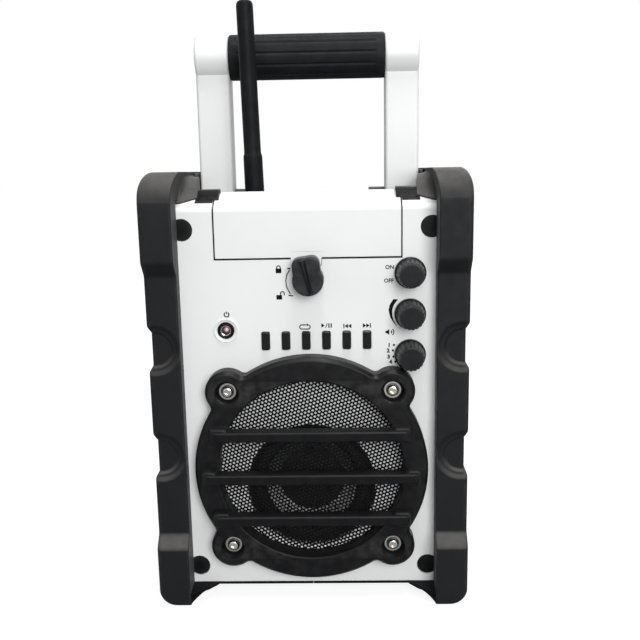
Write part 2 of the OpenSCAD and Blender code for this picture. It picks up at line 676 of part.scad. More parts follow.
module compartment_sockets() color("#9a9da1") {
    w_r = lid_r - ledge_w - 0.25;
    // a charging port and an audio socket, each in its metal shell
    difference() {
        block([w_r - tray_t, y0 + 24 - 3.8, top - 33.8], [w_r + 12, y0 + 24 + 3.8, top - 18.2]);
        block([w_r - tray_t - 1, y0 + 24 - 2.8, top - 32.4], [w_r + 9, y0 + 24 + 2.8, top - 19.6]);
    }
    difference() {
        block([w_r - tray_t, y0 + 38 - 3.8, top - 33.8], [w_r + 12, y0 + 38 + 3.8, top - 18.2]);
        x_cyl(y0 + 38, top - 26, w_r - tray_t - 1, w_r + 10, 1.8);
    }
}

// ---------- latch ----------

module latch_knob() color(moulded) difference() {
    union() {
        y_cyl(latch_x, top - latch_drop, y0 - 13, y0 - 0.6, latch_d / 2);
        // the lobe leans a little to the left, and the ridge across it a little more
        translate([latch_x, 0, top - latch_drop]) {
            rotate([0, -8, 0]) front_slab(y0 - 12.7, y0 - 0.9, concat(
                [[-lobe_w / 2, -2], [lobe_w / 2, -2]],
                arc(lobe_w / 2 - lobe_r, lobe_rise - lobe_r, lobe_r, 0, 90, 6),
                arc(lobe_r - lobe_w / 2, lobe_rise - lobe_r, lobe_r, 90, 180, 6)));
            rotate([0, -14, 0]) front_slab(y0 - 16.4, y0 - 12, [
                [-0.9, -9.4], [0.9, -9.4], [1.6, lobe_rise - 1], [-1.6, lobe_rise - 1]]);
        }
        y_cyl(latch_x, top - latch_drop, y0 - 0.7, y0 + wall + 1.6, latch_shank_d / 2);
    }
    y_cyl(latch_x, top - latch_drop, y0 - 2, y0 + 12, 1.6);
}

module latch_retainer() color(steel) difference() {
    union() {
        y_cyl(latch_x, top - latch_drop, y0 + wall + 1.6, y0 + wall + 3, latch_shank_d / 2 + 2.6);
        y_cyl(latch_x, top - latch_drop, y0 - 1.9, y0 + wall + 1.7, 1.5);
        y_cyl(latch_x, top - latch_drop, y0 + wall + 2.9, y0 + wall + 4.6, 3);
    }
    y_cyl(latch_x, top - latch_drop, y0 + wall + 3.6, y0 + 12, 1.4, fn = 6);
}

// ---------- controls ----------

flutes = 18;

module knob(z) difference() {
    union() {
        y_cyl(knob_x, z, y0 - 0.7 - 2.2, y0 - 0.7, knob_d / 2);
        y_cyl(knob_x, z, y0 - 0.7 - knob_h, y0 - 0.7 - 2.2 + eps, knob_d / 2 - 2.3, knob_d / 2 - 0.8);
    }
    for (i = [0:flutes - 1]) let (a = 360 / flutes * i)
        y_cyl(knob_x + cos(a) * (knob_d / 2 - 0.6), z + sin(a) * (knob_d / 2 - 0.6),
              y0 - knob_h - 2, y0 - 3.4, 0.8);
    // hollow over the nut, and the bore for the shaft
    y_cyl(knob_x, z, y0 - 4, y0, nut_af / 2 + 1.6);
    y_cyl(knob_x, z, y0 - 13, y0, shaft_d / 2);
}

module power_knob() color(moulded) knob(knob_z[0]);
module volume_knob() color(moulded) knob(knob_z[1]);
module source_knob() color(moulded) knob(knob_z[2]);

// the shaft runs through the bush and ends in a disc inside the control
module control_shaft(z) {
    y_cyl(knob_x, z, y0 - 12.8, y0 + 6.4, shaft_d / 2);
    y_cyl(knob_x, z, y0 + 6.4 - eps, y0 + 8, 5.4);
}

module power_shaft() color(steel) control_shaft(knob_z[0]);
module volume_shaft() color(steel) control_shaft(knob_z[1]);
module source_shaft() color(steel) control_shaft(knob_z[2]);

// a control's case and bush, hollow round the shaft
module control_case(z, w, deep) difference() {
    union() {
        block([knob_x - w / 2, y0 + wall, z - w / 2], [knob_x + w / 2, y0 + wall + deep, z + w / 2]);
        y_cyl(knob_x, z, y0 - 3.6, y0 + wall + eps, bush_d / 2);
        for (x = [-4, 0, 4]) block([knob_x + x - 0.6, y0 + wall + deep - eps, z - w / 2 + 1],
                                   [knob_x + x + 0.6, y0 + wall + deep + 4, z - w / 2 + 2]);
    }
    y_cyl(knob_x, z, y0 - 5, y0 + wall + 3, shaft_d / 2 + pin_run);
    y_cyl(knob_x, z, y0 + wall + 2.6, y0 + wall + 6, 6);
}

module power_switch() color("#4b4d52") control_case(knob_z[0], 14, 12);
module volume_control() color("#4b4d52") control_case(knob_z[1], 18, 10);
module source_selector() color("#4b4d52") control_case(knob_z[2], 18, 11);

module control_nuts() color(steel) for (z = knob_z) difference() {
    y_cyl(knob_x, z, y0 - nut_t, y0, nut_af / 2 / cos(30), fn = 6);
    y_cyl(knob_x, z, y0 - nut_t - 1, y0 + 1, bush_d / 2);
}

// a button's rounded outline at x, grown by g
module button_shape(x, y_a, y_b, g) {
    r = 1.2 + g;
    w = button_w / 2 + g;
    h = button_h / 2 + g;
    front_slab(y_a, y_b, concat(
        arc(x + w - r, button_z - h + r, r, -90, 0, 4), arc(x + w - r, button_z + h - r, r, 0, 90, 4),
        arc(x - w + r, button_z + h - r, r, 90, 180, 4), arc(x - w + r, button_z - h + r, r, 180, 270, 4)));
}

module button(i) color(moulded) {
    x = button_x[i];
    back = y0 + wall + run;
    button_shape(x, y0 - button_proud, back + button_flange, 0);
    button_shape(x, back, back + button_flange, 0.9);
    y_cyl(x, button_z, back + 1, y0 + button_stop - run - button_travel, 1.6);
}

module button_1() button(0);
module button_2() button(1);
module button_3() button(2);
module button_4() button(3);
module button_5() button(4);
module button_6() button(5);

// circuit board behind the buttons with its six switches, on posts from the panel
module button_board() color("#1f5d3a") {
    block([button_x[0] - 12, y0 + board_front, button_z - 10],
          [button_x[5] + 12, y0 + board_front + board_t, button_z + 10]);
    for (x = [button_x[0] - 9.5, button_x[5] + 9.5])
        y_cyl(x, button_z, y0 + wall, y0 + board_front + eps, 2.6);
    for (x = button_x) {
        block([x - 3, y0 + button_stop + 0.6, button_z - 3], [x + 3, y0 + board_front, button_z + 3]);
        y_cyl(x, button_z, y0 + button_stop, y0 + button_stop + 0.7, 1.7);
    }
}

module led_bezel() color(white) difference() {
    union() {
        y_cyl(bezel_x, bezel_z, y0 - 1.4, y0, bezel_d / 2);
        y_cyl(bezel_x, bezel_z, y0 - eps, y0 + 7, bezel_d / 2 - 2 - seat);
    }
    y_cyl(bezel_x, bezel_z, y0 - 3, y0 + 0.6, 5.2, 2.8);
    y_cyl(bezel_x, bezel_z, y0 - 3, y0 + 10, 2.5);
}

module led() color("#d8a3a8") {
    y_cyl(bezel_x, bezel_z, y0 + 0.4, y0 + 6, 2.5);
    translate([bezel_x, y0 + 0.4, bezel_z]) sphere(r = 2.4);
    for (s = [-1, 1]) y_cyl(bezel_x + s * 1.27, bezel_z, y0 + 6 - eps, y0 + 12, 0.3);
}

// ---------- speaker ----------

speaker_screw_xz = [for (a = [45:90:315]) [(basket_r - 3) * cos(a), dz + (basket_r - 3) * sin(a)]];

// bevelled ring, turned about the guard's axis
module guard_ring()
    translate([guard_x, y0, gz]) rotate([90, 0, 0]) rotate_extrude($fn = 128) polygon([
        [open_r, 0], [guard_r, 0], [guard_r, guard_wall], [guard_r - guard_bevel, guard_t],
        [open_r + guard_lip, guard_t], [open_r, guard_t - guard_lip]]);

// a bar across the ring's face, with a pad under each end
module guard_bar(i) {
    z = gz + bar_z[i];
    w = bar_half[i];
    r = 2.4;
    side_slab(guard_x - w, guard_x + w, concat(
        [[y0 - guard_t + 1, z - bar_h / 2], [y0 - guard_t + 1, z + bar_h / 2]],
        arc(y0 - bar_proud + r, z + bar_h / 2 - r, r, 90, 180, 4),
        arc(y0 - bar_proud + r, z - bar_h / 2 + r, r, 180, 270, 4)));
    chord = sqrt(pow(open_r + guard_lip, 2) - pow(abs(bar_z[i]) - bar_h / 2 - pad_over, 2));
    for (s = [-1, 1])
        block([guard_x + min(s * chord, s * (w + pad_over)), y0 - guard_t - pad_h, z - bar_h / 2 - pad_over],
              [guard_x + max(s * chord, s * (w + pad_over)), y0 - guard_t + 1, z + bar_h / 2 + pad_over]);
}

module speaker_guard() color(moulded) difference() {
    union() {
        guard_ring();
        difference() {
            for (p = ear_xz) {
                y_cyl(p[0], p[1], y0 - guard_wall, y0, ear_r);
                y_cyl(p[0], p[1], y0 - guard_t, y0 - guard_wall + eps, ear_r - guard_bevel, ear_r);
            }
            y_cyl(guard_x, gz, y0 - 40, y0 + 1, open_r + 4);
        }
        for (i = [0:2]) guard_bar(i);
    }
    for (p = ear_xz) {
        y_cyl(p[0], p[1], y0 - guard_t - eps, y0 - ear_seat, ear_mouth_r, ear_seat_r);
        y_cyl(p[0], p[1], y0 - 30, y0 + 1, 2.3);
    }
}

module guard_washers() color(steel) for (p = ear_xz) difference() {
    y_cyl(p[0], p[1], y0 - ear_seat - washer_t, y0 - ear_seat, 6.2);
    y_cyl(p[0], p[1], y0 - ear_seat - 3, y0 - ear_seat + 1, 2.2);
}

module guard_screws() color(steel) for (p = ear_xz) let (under = y0 - ear_seat - washer_t) difference() {
    union() {
        y_cyl(p[0], p[1], under - 2.8, under, 3.5, 3.9);
        y_cyl(p[0], p[1], under - eps, y0 + front_shell_d - 9, 1.8);
    }
    y_cyl(p[0], p[1], under - 4, under - 1.1, 1.7, fn = 6);
}

hole_pitch = 8;
module grille_mesh() color("#2c2d31") difference() {
    y_cyl(guard_x, gz, y0, y0 + mesh_t, mesh_r);
    for (i = [-9:9], j = [-9:9])
        let (x = (i + (j % 2 == 0 ? 0 : 0.5)) * hole_pitch, z = j * hole_pitch * sin(60))
            if (norm([x, z]) < open_r - 3)
                y_cyl(guard_x + x, gz + z, y0 - 1, y0 + mesh_t + 1, 2.6, fn = 24);
}

// a ring round the driver's axis; the profile is [radius, depth behind the baffle]
module turned(pts, fn = 96)
    translate([0, driver_y, dz]) rotate([-90, 0, 0]) rotate_extrude($fn = fn) polygon(pts);

basket_face = 1.2;                // room for the surround's rim under the flange

module speaker_basket() color("#55585d") difference() {
    turned([
        [sur_r - 1, basket_face], [basket_r, basket_face], [basket_r, basket_face + 2],
        [sur_r + 1, basket_face + 2], [38, basket_h - 4], [35, basket_h],
        [coil_r + 4, basket_h], [coil_r + 4, basket_h - 1.6], [34, basket_h - 1.6],
        [36, basket_h - 5], [sur_r - 1, basket_face + 1.6]]);
    for (a = [0:60:300]) translate([0, driver_y, dz]) rotate([0, a, 0])
        block([37.4, 5.5, -11], [sur_r + 6, basket_h - 5.5, 11]);
    for (p = speaker_screw_xz) y_cyl(p[0], p[1], y0, y0 + 40, 2);
}

module speaker_screws() color(steel) for (p = speaker_screw_xz) {
    y_cyl(p[0], p[1], driver_y + basket_face + 2, driver_y + basket_face + 3.8, 3);
    y_cyl(p[0], p[1], driver_y - wall + 1, driver_y + basket_face + 2 + eps, 1.6);
}

module speaker_magnet() color("#6e7176") turned([
    [coil_r + 1.7, basket_h], [magnet_r - 4, basket_h], [magnet_r - 4, basket_h + plate_t],
    [magnet_r, basket_h + plate_t], [magnet_r, basket_h + plate_t + magnet_t],
    [magnet_r - 2, basket_h + plate_t + magnet_t], [magnet_r - 2, basket_h + 2 * plate_t + magnet_t],
    [3, basket_h + 2 * plate_t + magnet_t], [3, basket_h - 0.5], [coil_r - 1.2, basket_h - 0.5],
    [coil_r - 1.2, basket_h + plate_t + magnet_t], [magnet_r - 18, basket_h + plate_t + magnet_t],
    [magnet_r - 18, basket_h + plate_t], [coil_r + 1.7, basket_h + plate_t]]);

sur_mid = (sur_r + cone_r) / 2 - 1;
sur_roll = (sur_r - cone_r) / 2 - 2;

module speaker_surround() color("#232428") turned(concat(
    [[basket_r - 6, basket_face - 0.1], [basket_r - 6, 0], [sur_r - 1.5, 0]],
    arc(sur_mid, basket_face, sur_roll, 0, -180, 12),
    [[cone_r - 1, basket_face - 0.6], [cone_r - 1, basket_face + 0.4]],
    arc(sur_mid, basket_face, sur_roll - 1, -180, 0, 12)));

module speaker_cone() color("#c9cccf") turned([
    [cone_r + 0.8, basket_face + 0.6], [cap_r, cap_d], [coil_r, 16.4], [coil_r, 17.4],
    [cap_r + 0.2, cap_d + 1.2], [cone_r + 0.8, basket_face + 1.7]]);

// domed cap glued to the cone's face
module dust_cap() color("#26272b") turned(concat(
    [for (i = [0:10]) let (a = i * 7.5) [cap_r * sin(a) / sin(75), cap_d - cap_h * (cos(a) - cos(75)) / (1 - cos(75))]],
    [for (i = [10:-1:0]) let (a = i * 7.5, r = cap_r - 0.8)
        [r * sin(a) / sin(75), cap_d - (cap_h - 0.8) * (cos(a) - cos(75)) / (1 - cos(75))]]));

// thin former with the winding, which is longer than the gap by the travel each way
module voice_coil() color("#b0703a") {
    front = basket_h - cone_travel;
    back = basket_h + plate_t + cone_travel;
    turned([
        [coil_r - former_t, 12], [coil_r, 12], [coil_r, front], [coil_r + winding_t, front],
        [coil_r + winding_t, back], [coil_r, back], [coil_r, back + former_t],
        [coil_r - former_t, back + former_t]]);
}

module speaker_spider() color("#a88d54") turned([
    [coil_r + 1.2, basket_h - 4], [19, basket_h - 3.4], [23, basket_h - 4.6], [27, basket_h - 3.4],
    [31, basket_h - 4.6], [34.4, basket_h - 4], [34.4, basket_h - 3.4], [31, basket_h - 4],
    [27, basket_h - 2.8], [23, basket_h - 4], [19, basket_h - 2.8], [coil_r + 1.2, basket_h - 3.4]]);

// ---------- electronics and power ----------

module main_board() color("#1f5d3a") {
    difference() {
        block([-board_w / 2, board_y, board_z - board_h / 2],
              [board_w / 2, board_y + board_t, board_z + board_h / 2]);
        for (s = [-1, 1], z = [-1, 1])
            y_cyl(s * (board_w / 2 - 5), board_z + z * (board_h / 2 - 6), board_y - 1, board_y + 3, 1.6);
    }
    // capacitors, the tuner's screening can and the connectors
    for (x = [20, 34]) y_cyl(x, board_z + 18, board_y + board_t, board_y + 20, 6);
    for (x = [48, 60, 72]) y_cyl(x, board_z + 20, board_y + board_t, board_y + 13, 4);
    block([36, board_y + board_t, board_z - 26], [74, board_y + 9, board_z + 4]);
    for (x = [-6, 10]) block([x - 5, board_y + board_t, board_z - 32], [x + 5, board_y + 10, board_z - 24]);
    // the amplifier's finned heat sink
    block([-66, board_y + board_t, board_z - 24], [-16, board_y + 5, board_z + 26]);
    for (x = [-66:8:-18]) block([x, board_y + 5 - eps, board_z - 24], [x + 2, board_y + 24, board_z + 26]);
}

module dc_jack() color("#2a2b2e") {
    difference() {
        y_cyl(jack_x, jack_z, y_rear - 17, y_rear - 3, 5.4);
        y_cyl(jack_x, jack_z, y_rear - 14, y_rear, 2.9);
    }
    y_cyl(jack_x, jack_z, y_rear - 16, y_rear - 5, 0.9);
    difference() {
        y_cyl(jack_x, jack_z, y_rear - 3, y_rear - 1.8, 7.4);
        y_cyl(jack_x, jack_z, y_rear - 4, y_rear, 2.9);
    }
}

pack_gap = 1;

module battery_pack() color("#3a3b40") {
    block([-bay_w / 2 + pack_gap, y0 + bay_front + 8, bay_z],
          [bay_w / 2 - pack_gap, y_rear - 12, bay_z + 54]);
    block([-bay_w / 2 + 12, y0 + bay_front + 8, bay_z + 54 - eps],
          [bay_w / 2 - 12, y_rear - 16, bay_z + bay_h - 14]);
    block([-bay_w / 2 + 16, y_rear - 12 - eps, bay_z + 12], [bay_w / 2 - 16, y_rear - 9, bay_z + 46]);
}

module battery_terminals() color("#c8a35a") {
    block([-28, y0 + bay_front, bay_z + 14], [28, y0 + bay_front + 3, bay_z + 44]);
    for (x = [-18, -6, 6, 18]) block([x - 1, y0 + bay_front + 3 - eps, bay_z + 20],
                                     [x + 1, y0 + bay_front + 7.6, bay_z + 38]);
}

module door_pin() color(steel) x_cyl(door_y, door_z, -bay_w / 2 - 10.8, bay_w / 2 + 10.8, door_pin_d / 2);

module battery_door() color(moulded) difference() {
    union() {
        block([-bay_w / 2 - door_over, y_rear - door_t, door_z], [bay_w / 2 + door_over, y_rear,
              bay_z + bay_h + door_over]);
        x_cyl(door_y, door_z, -bay_w / 2 - door_over, bay_w / 2 + door_over, 3.4);
        // snap tongue behind the top edge
        block([-8, y_rear - 7.4, bay_z + bay_h - 1.8], [8, y_rear - door_t + eps, bay_z + bay_h - 0.5]);
        // grip ridges
        for (z = [0:4]) block([-14, y_rear - eps, bay_z + bay_h - 6 - z * 5],
                              [14, y_rear + 1.2, bay_z + bay_h - 4 - z * 5]);
    }
    x_cyl(door_y, door_z, -bay_w, bay_w, door_pin_d / 2 + pin_run);
}

// ---------- handle and antenna ----------

module handle_pins() color(steel) for (s = [-1, 1]) {
    x_a = s < 0 ? -rail_x - 11.8 : leg_in - 0.6 - lug_w;
    x_cyl(py, pz, x_a, x_a + rail_x + 11.8 - (leg_in - 0.6 - lug_w), pivot_pin_d / 2);
}

module handle_leg_right() color(white) difference() {
    union() {
        side_slab(leg_in, leg_out, [[py - leg_d / 2, pz], [py + leg_d / 2, pz],
            [py + leg_d / 2, grip_z], [py - leg_d / 2, grip_z]]);
        x_cyl(py, pz, leg_in, leg_out, foot_r);
        x_cyl(py, grip_z, leg_in, leg_out, leg_end_r);
    }
    x_cyl(py, pz, leg_in - 1, leg_out + 1, pivot_pin_d / 2 + pin_run);
    x_cyl(py, grip_z, leg_in - 1, leg_out - 4, core_d / 2);
}

module handle_leg_left() mirror([1, 0, 0]) handle_leg_right();

grip_grooves = 12;                // grooves along the grip, spaced evenly round it
grip_groove_r = 0.75;
grip_groove_end = 7;              // plain length at each end of the grip
grip_groove_turn = 5.5;           // angle of the foremost groove above the axis

module handle_grip() color(moulded) difference() {
    x_cyl(py, grip_z, -leg_in, leg_in, grip_d / 2);
    x_cyl(py, grip_z, -leg_in - 1, leg_in + 1, core_d / 2);
    for (i = [0:grip_grooves - 1]) let (a = 180 - grip_groove_turn - i * 360 / grip_grooves, r = grip_d / 2)
        x_cyl(py + r * cos(a), grip_z + r * sin(a), -leg_in + grip_groove_end,
              leg_in - grip_groove_end, grip_groove_r);
}

module handle_core() color(steel) difference() {
    x_cyl(py, grip_z, -leg_out + 4, leg_out - 4, core_d / 2);
    x_cyl(py, grip_z, -leg_out, leg_out, core_d / 2 - 2);
}

module antenna_place() translate([antenna_x, ay, deck]) rotate([0, -antenna_lean, 0]) children();

module antenna_base() color(moulded) {
    translate([antenna_x, ay, deck - wall - 4]) cylinder(d = 8, h = wall + 4.6);
    antenna_place() {
        translate([0, 0, 0.4]) cylinder(d = antenna_base_d + 2.4, h = 1.8);
        translate([0, 0, 0.4]) cylinder(d1 = antenna_base_d + 0.6, d2 = antenna_base_d - 0.8, h = antenna_base_h - 0.4);
    }
    difference() {
        translate([antenna_x, ay, deck - wall - 3]) cylinder(d = 12, h = 3, $fn = 6);
        translate([antenna_x, ay, deck - wall - 4]) cylinder(d = 8, h = 6);
    }
}

module antenna_whip() color(moulded) antenna_place() translate([0, 0, antenna_base_h + run]) {
    // the round lower end turns in place when the whip bends
    translate([0, 0, whip_r0]) sphere(r = whip_r0);
    translate([0, 0, whip_r0]) cylinder(r1 = whip_r0, r2 = whip_r1, h = antenna_whip_h - whip_r0 - whip_r1);
    translate([0, 0, antenna_whip_h - whip_r1]) sphere(r = whip_r1);
}

front_panel();
main_housing();
rear_cover();
bumper_left();
bumper_right();
corner_screws();
rear_screws();
hinge_brackets();
hinge_pins();
device_tray();
compartment_sockets();
latch_plate();
led_bezel();
led();
speaker_guard();
guard_screws();
guard_washers();
grille_mesh();
speaker_basket();
speaker_magnet();
speaker_surround();
speaker_spider();
speaker_screws();
main_board();
dust_cap();
power_switch();
volume_control();
source_selector();
control_nuts();
button_board();
battery_pack();
battery_terminals();
door_pin();
dc_jack();
antenna_base();
handle_pins();
compartment_lid();
lid_seal();
latch_knob();
latch_retainer();
power_knob();
volume_knob();
source_knob();
power_shaft();
volume_shaft();
source_shaft();
button_1();
button_2();
button_3();
button_4();
button_5();
button_6();
handle_leg_left();
handle_leg_right();
handle_grip();
handle_core();
antenna_whip();
speaker_cone();
voice_coil();
battery_door();
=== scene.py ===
"""A jobsite radio: rubber-bumpered housing, guarded speaker, folding handle and whip antenna,
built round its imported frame."""

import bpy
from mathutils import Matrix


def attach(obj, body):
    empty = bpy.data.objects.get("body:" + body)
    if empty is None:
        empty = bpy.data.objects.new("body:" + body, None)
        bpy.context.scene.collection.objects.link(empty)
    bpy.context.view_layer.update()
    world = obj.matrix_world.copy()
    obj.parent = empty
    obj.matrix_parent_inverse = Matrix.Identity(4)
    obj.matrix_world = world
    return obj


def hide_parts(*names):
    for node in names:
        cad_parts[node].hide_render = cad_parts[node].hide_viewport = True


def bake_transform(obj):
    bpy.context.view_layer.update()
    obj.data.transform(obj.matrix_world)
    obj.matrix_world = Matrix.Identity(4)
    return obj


bl_info = {
    "name": "Jobsite Radio",
    "version": (1, 0, 0),
    "blender": (4, 5, 0),
    "location": "3D View > Sidebar > Radio",
    "description": "Moulds, fits and finishes the pieces of a jobsite radio round its packed frame",
    "category": "Add Mesh",
}

import math

import bmesh
import bpy
import numpy as np
from mathutils import Matrix, Vector
from mathutils.geometry import tessellate_polygon

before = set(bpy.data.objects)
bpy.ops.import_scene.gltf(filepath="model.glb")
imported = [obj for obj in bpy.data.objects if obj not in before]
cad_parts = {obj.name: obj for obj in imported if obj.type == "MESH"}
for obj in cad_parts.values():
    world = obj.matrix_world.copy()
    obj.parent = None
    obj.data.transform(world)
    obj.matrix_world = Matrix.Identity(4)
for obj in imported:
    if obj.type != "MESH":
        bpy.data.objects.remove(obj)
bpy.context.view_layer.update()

MM = 0.001
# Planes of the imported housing, in millimetres: +Z up, the front looks along -Y
FACE = -65.0                 # the front panel
REAR = 75.0                  # the rear cover
SIDE = 102.2                 # just outside the housing's side
UNDER = 9.8                  # underside of the housing, where the bumpers close below it
TOP = 292.0                  # top edge of the front panel
DECK = 296.2                 # the housing's top, where the bumpers close above it
LEFT, RIGHT = -1, 1
JOIN_X = 94.0                # saddles and feet end here, inside the bumpers

MERGE, SLIVER = 1e-6, 1e-7   # metres: points closer than these are one, and such edges go
TOO_CLOSE = 1e-4             # millimetres between an outline's points, at which one goes
SHARP = 32                   # degrees between faces past which their edge is drawn sharp


# ---------- outlines and skins ----------

def soften(outline, radius, steps=6, closed=True):
    """Each corner P of an outline becomes the circular arc that touches both of its sides at distance
    r / tan(half the corner). From A to B it is the rational curve
    (A(1-s)^2 + 2wPs(1-s) + Bs^2) / ((1-s)^2 + 2ws(1-s) + s^2), with w the sine of half the corner."""
    p = np.asarray(outline, float)
    back, ahead = np.roll(p, 1, 0) - p, np.roll(p, -1, 0) - p
    run_a, run_b = np.linalg.norm(back, axis=1), np.linalg.norm(ahead, axis=1)
    a, b = back / run_a[:, None], ahead / run_b[:, None]
    half = np.arccos(np.clip((a * b).sum(1), -1, 1)) / 2
    reach = np.asarray(radius, float) / np.tan(np.maximum(half, 1e-3))
    reach = np.minimum(reach, 0.49 * np.minimum(run_a, run_b))
    if not closed:
        reach[[0, -1]] = 0
    s = np.linspace(0, 1, steps + 1)[None, :, None]
    w = np.sin(half)[:, None, None]
    start, end = (p + a * reach[:, None])[:, None], (p + b * reach[:, None])[:, None]
    top = start * (1 - s) ** 2 + 2 * w * p[:, None] * s * (1 - s) + end * s ** 2
    points = (top / ((1 - s) ** 2 + 2 * w * s * (1 - s) + s ** 2)).reshape(-1, p.shape[1])
    keep = np.linalg.norm(points - np.roll(points, 1, 0), axis=1) > TOO_CLOSE
    if not closed:
        keep[0] = True
    return points[keep]


def arc(cx, cy, r, start, end, steps):
    """Points (cx + r cos t, cy + r sin t), t in degrees from start to end."""
    t = np.radians(np.linspace(start, end, steps + 1))
    return np.stack([cx + r * np.cos(t), cy + r * np.sin(t)], 1)


def inset(outline, distance):
    """A closed anticlockwise outline moved inwards: each point goes along the mitre of its two sides'
    normals."""
    p = np.asarray(outline, float)
    side = np.roll(p, -1, 0) - p
    normal = np.stack([-side[:, 1], side[:, 0]], 1) / np.linalg.norm(side, axis=1)[:, None]
    before = np.roll(normal, 1, 0)
    mitre = (normal + before) / np.maximum(1 + (normal * before).sum(1), 0.3)[:, None]
    return p + distance * mitre


def anticlockwise(outline):
    """The outline, turned round if its signed area (half the sum of x dy - y dx) is negative."""
    p = np.asarray(outline, float)
    q = np.roll(p, -1, 0)
    return p if (p[:, 0] * q[:, 1] - q[:, 0] * p[:, 1]).sum() > 0 else p[::-1]


def skin(rings, around=True, capped=True):
    """Quads between rows of points, rings[row, column], closed round the columns, with a flat cap on the
    first and last row."""
    rings = np.asarray(rings, float)
    rows, cols = rings.shape[:2]
    i = np.arange(rows - 1)[:, None] * cols
    j = np.arange(cols if around else cols - 1)[None]
    k = (j + 1) % cols
    faces = np.stack([i + j, i + k, i + cols + k, i + cols + j], -1).reshape(-1, 4).tolist()
    if capped:
        faces += [list(range(cols))[::-1], list(range((rows - 1) * cols, rows * cols))]
    return rings.reshape(-1, 3), faces


def stood(outline, at, axis):
    """A flat outline (u, v) set at one place along an axis: x gives (at, u, v), y gives (u, at, v) and
    z gives (u, v, at)."""
    return np.insert(np.asarray(outline, float), "xyz".index(axis), at, axis=1)


def stack(outline, levels, axis, capped=True):
    """The outline inset by levels[i][0] and set at levels[i][1] along the axis, one ring after another."""
    base = anticlockwise(outline)
    return skin([stood(inset(base, d), at, axis) for d, at in levels], capped=capped)


def rounded_ends(low, high, r_low, r_high, steps=4):
    """Levels for stack(): quarter rounds at both ends, inset r(1 - sin t) at distance r(1 - cos t) from
    the end."""
    t = np.linspace(0, math.pi / 2, steps + 1)
    way = math.copysign(1, high - low)
    first = np.stack([r_low * (1 - np.sin(t)), low + way * r_low * (1 - np.cos(t))], 1)
    last = np.stack([r_high * (1 - np.sin(t)), high - way * r_high * (1 - np.cos(t))], 1)[::-1]
    return np.concatenate([first, last])


def lathe(profile, centre, steps=48, wave=None):
    """A profile of (radius, y) turned about an axis along Y, through centre = (x, z). wave(t, row)
    multiplies the radius at angle t, for flutes and scallops."""
    profile = np.asarray(profile, float)
    t = np.arange(steps) / steps * 2 * math.pi
    rows = np.arange(len(profile))[:, None]
    r = profile[:, :1] * (np.ones((len(profile), steps)) if wave is None else wave(t[None], rows))
    y = np.repeat(profile[:, 1:], steps, 1)
    return skin(np.stack([centre[0] + r * np.cos(t), y, centre[1] + r * np.sin(t)], -1), capped=False)


def slab(outline, low, high, axis, r):
    """An outline carried along an axis, with its edges rounded at both ends."""
    return stack(outline, rounded_ends(low, high, r, r), axis)


def sheet_with_holes(outline, holes, y):
    """A flat upright face with holes, cut into triangles that use only the outlines' own points."""
    loops = [anticlockwise(outline)] + [anticlockwise(h)[::-1] for h in holes]
    faces = tessellate_polygon([[Vector((u, v, 0)) for u, v in loop] for loop in loops])
    return stood(np.concatenate(loops), y, "y"), [list(f) for f in faces]


def moved(part, matrix):
    """The part's points multiplied by a 4 x 4 matrix."""
    m = np.array(matrix)
    return part[0] @ m[:3, :3].T + m[:3, 3], part[1]


def mirrored(part):
    """The same part on the other side of the middle, x becoming -x."""
    return part[0] * [-1, 1, 1], part[1]


def piece(name, parts, finish, body="housing", replaces=(), angle=SHARP, even=True):
    """Joins parts given in millimetres into one object in metres, merges doubles, points its faces
    outwards and puts it on its body."""
    points, faces, count = [], [], 0
    for p, f in parts:
        points.append(np.asarray(p, float))
        faces += [[i + count for i in face] for face in f]
        count += len(p)
    mesh = bpy.data.meshes.new(name)
    mesh.from_pydata(np.concatenate(points) * MM, [], faces)
    work = bmesh.new()
    work.from_mesh(mesh)
    bmesh.ops.remove_doubles(work, verts=work.verts, dist=MERGE)
    bmesh.ops.dissolve_degenerate(work, edges=work.edges, dist=SLIVER)
    bmesh.ops.recalc_face_normals(work, faces=work.faces)
    work.to_mesh(mesh)
    work.free()
    mesh.shade_smooth()
    mesh.set_sharp_from_angle(angle=math.radians(angle))
    mesh.materials.append(FINISHES[finish])
    made = bpy.data.objects.new(name, mesh)
    bpy.context.scene.collection.objects.link(made)
    if even:
        shading = made.modifiers.new("even shading", "WEIGHTED_NORMAL")
        shading.keep_sharp = True
        shading.weight = 60
    if body:
        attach(made, body)
    if replaces:
        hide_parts(*replaces)
    return made


# ---------- finishes ----------

FINISHES = {}
SWING = 0.06                 # how far the roughness drifts either way


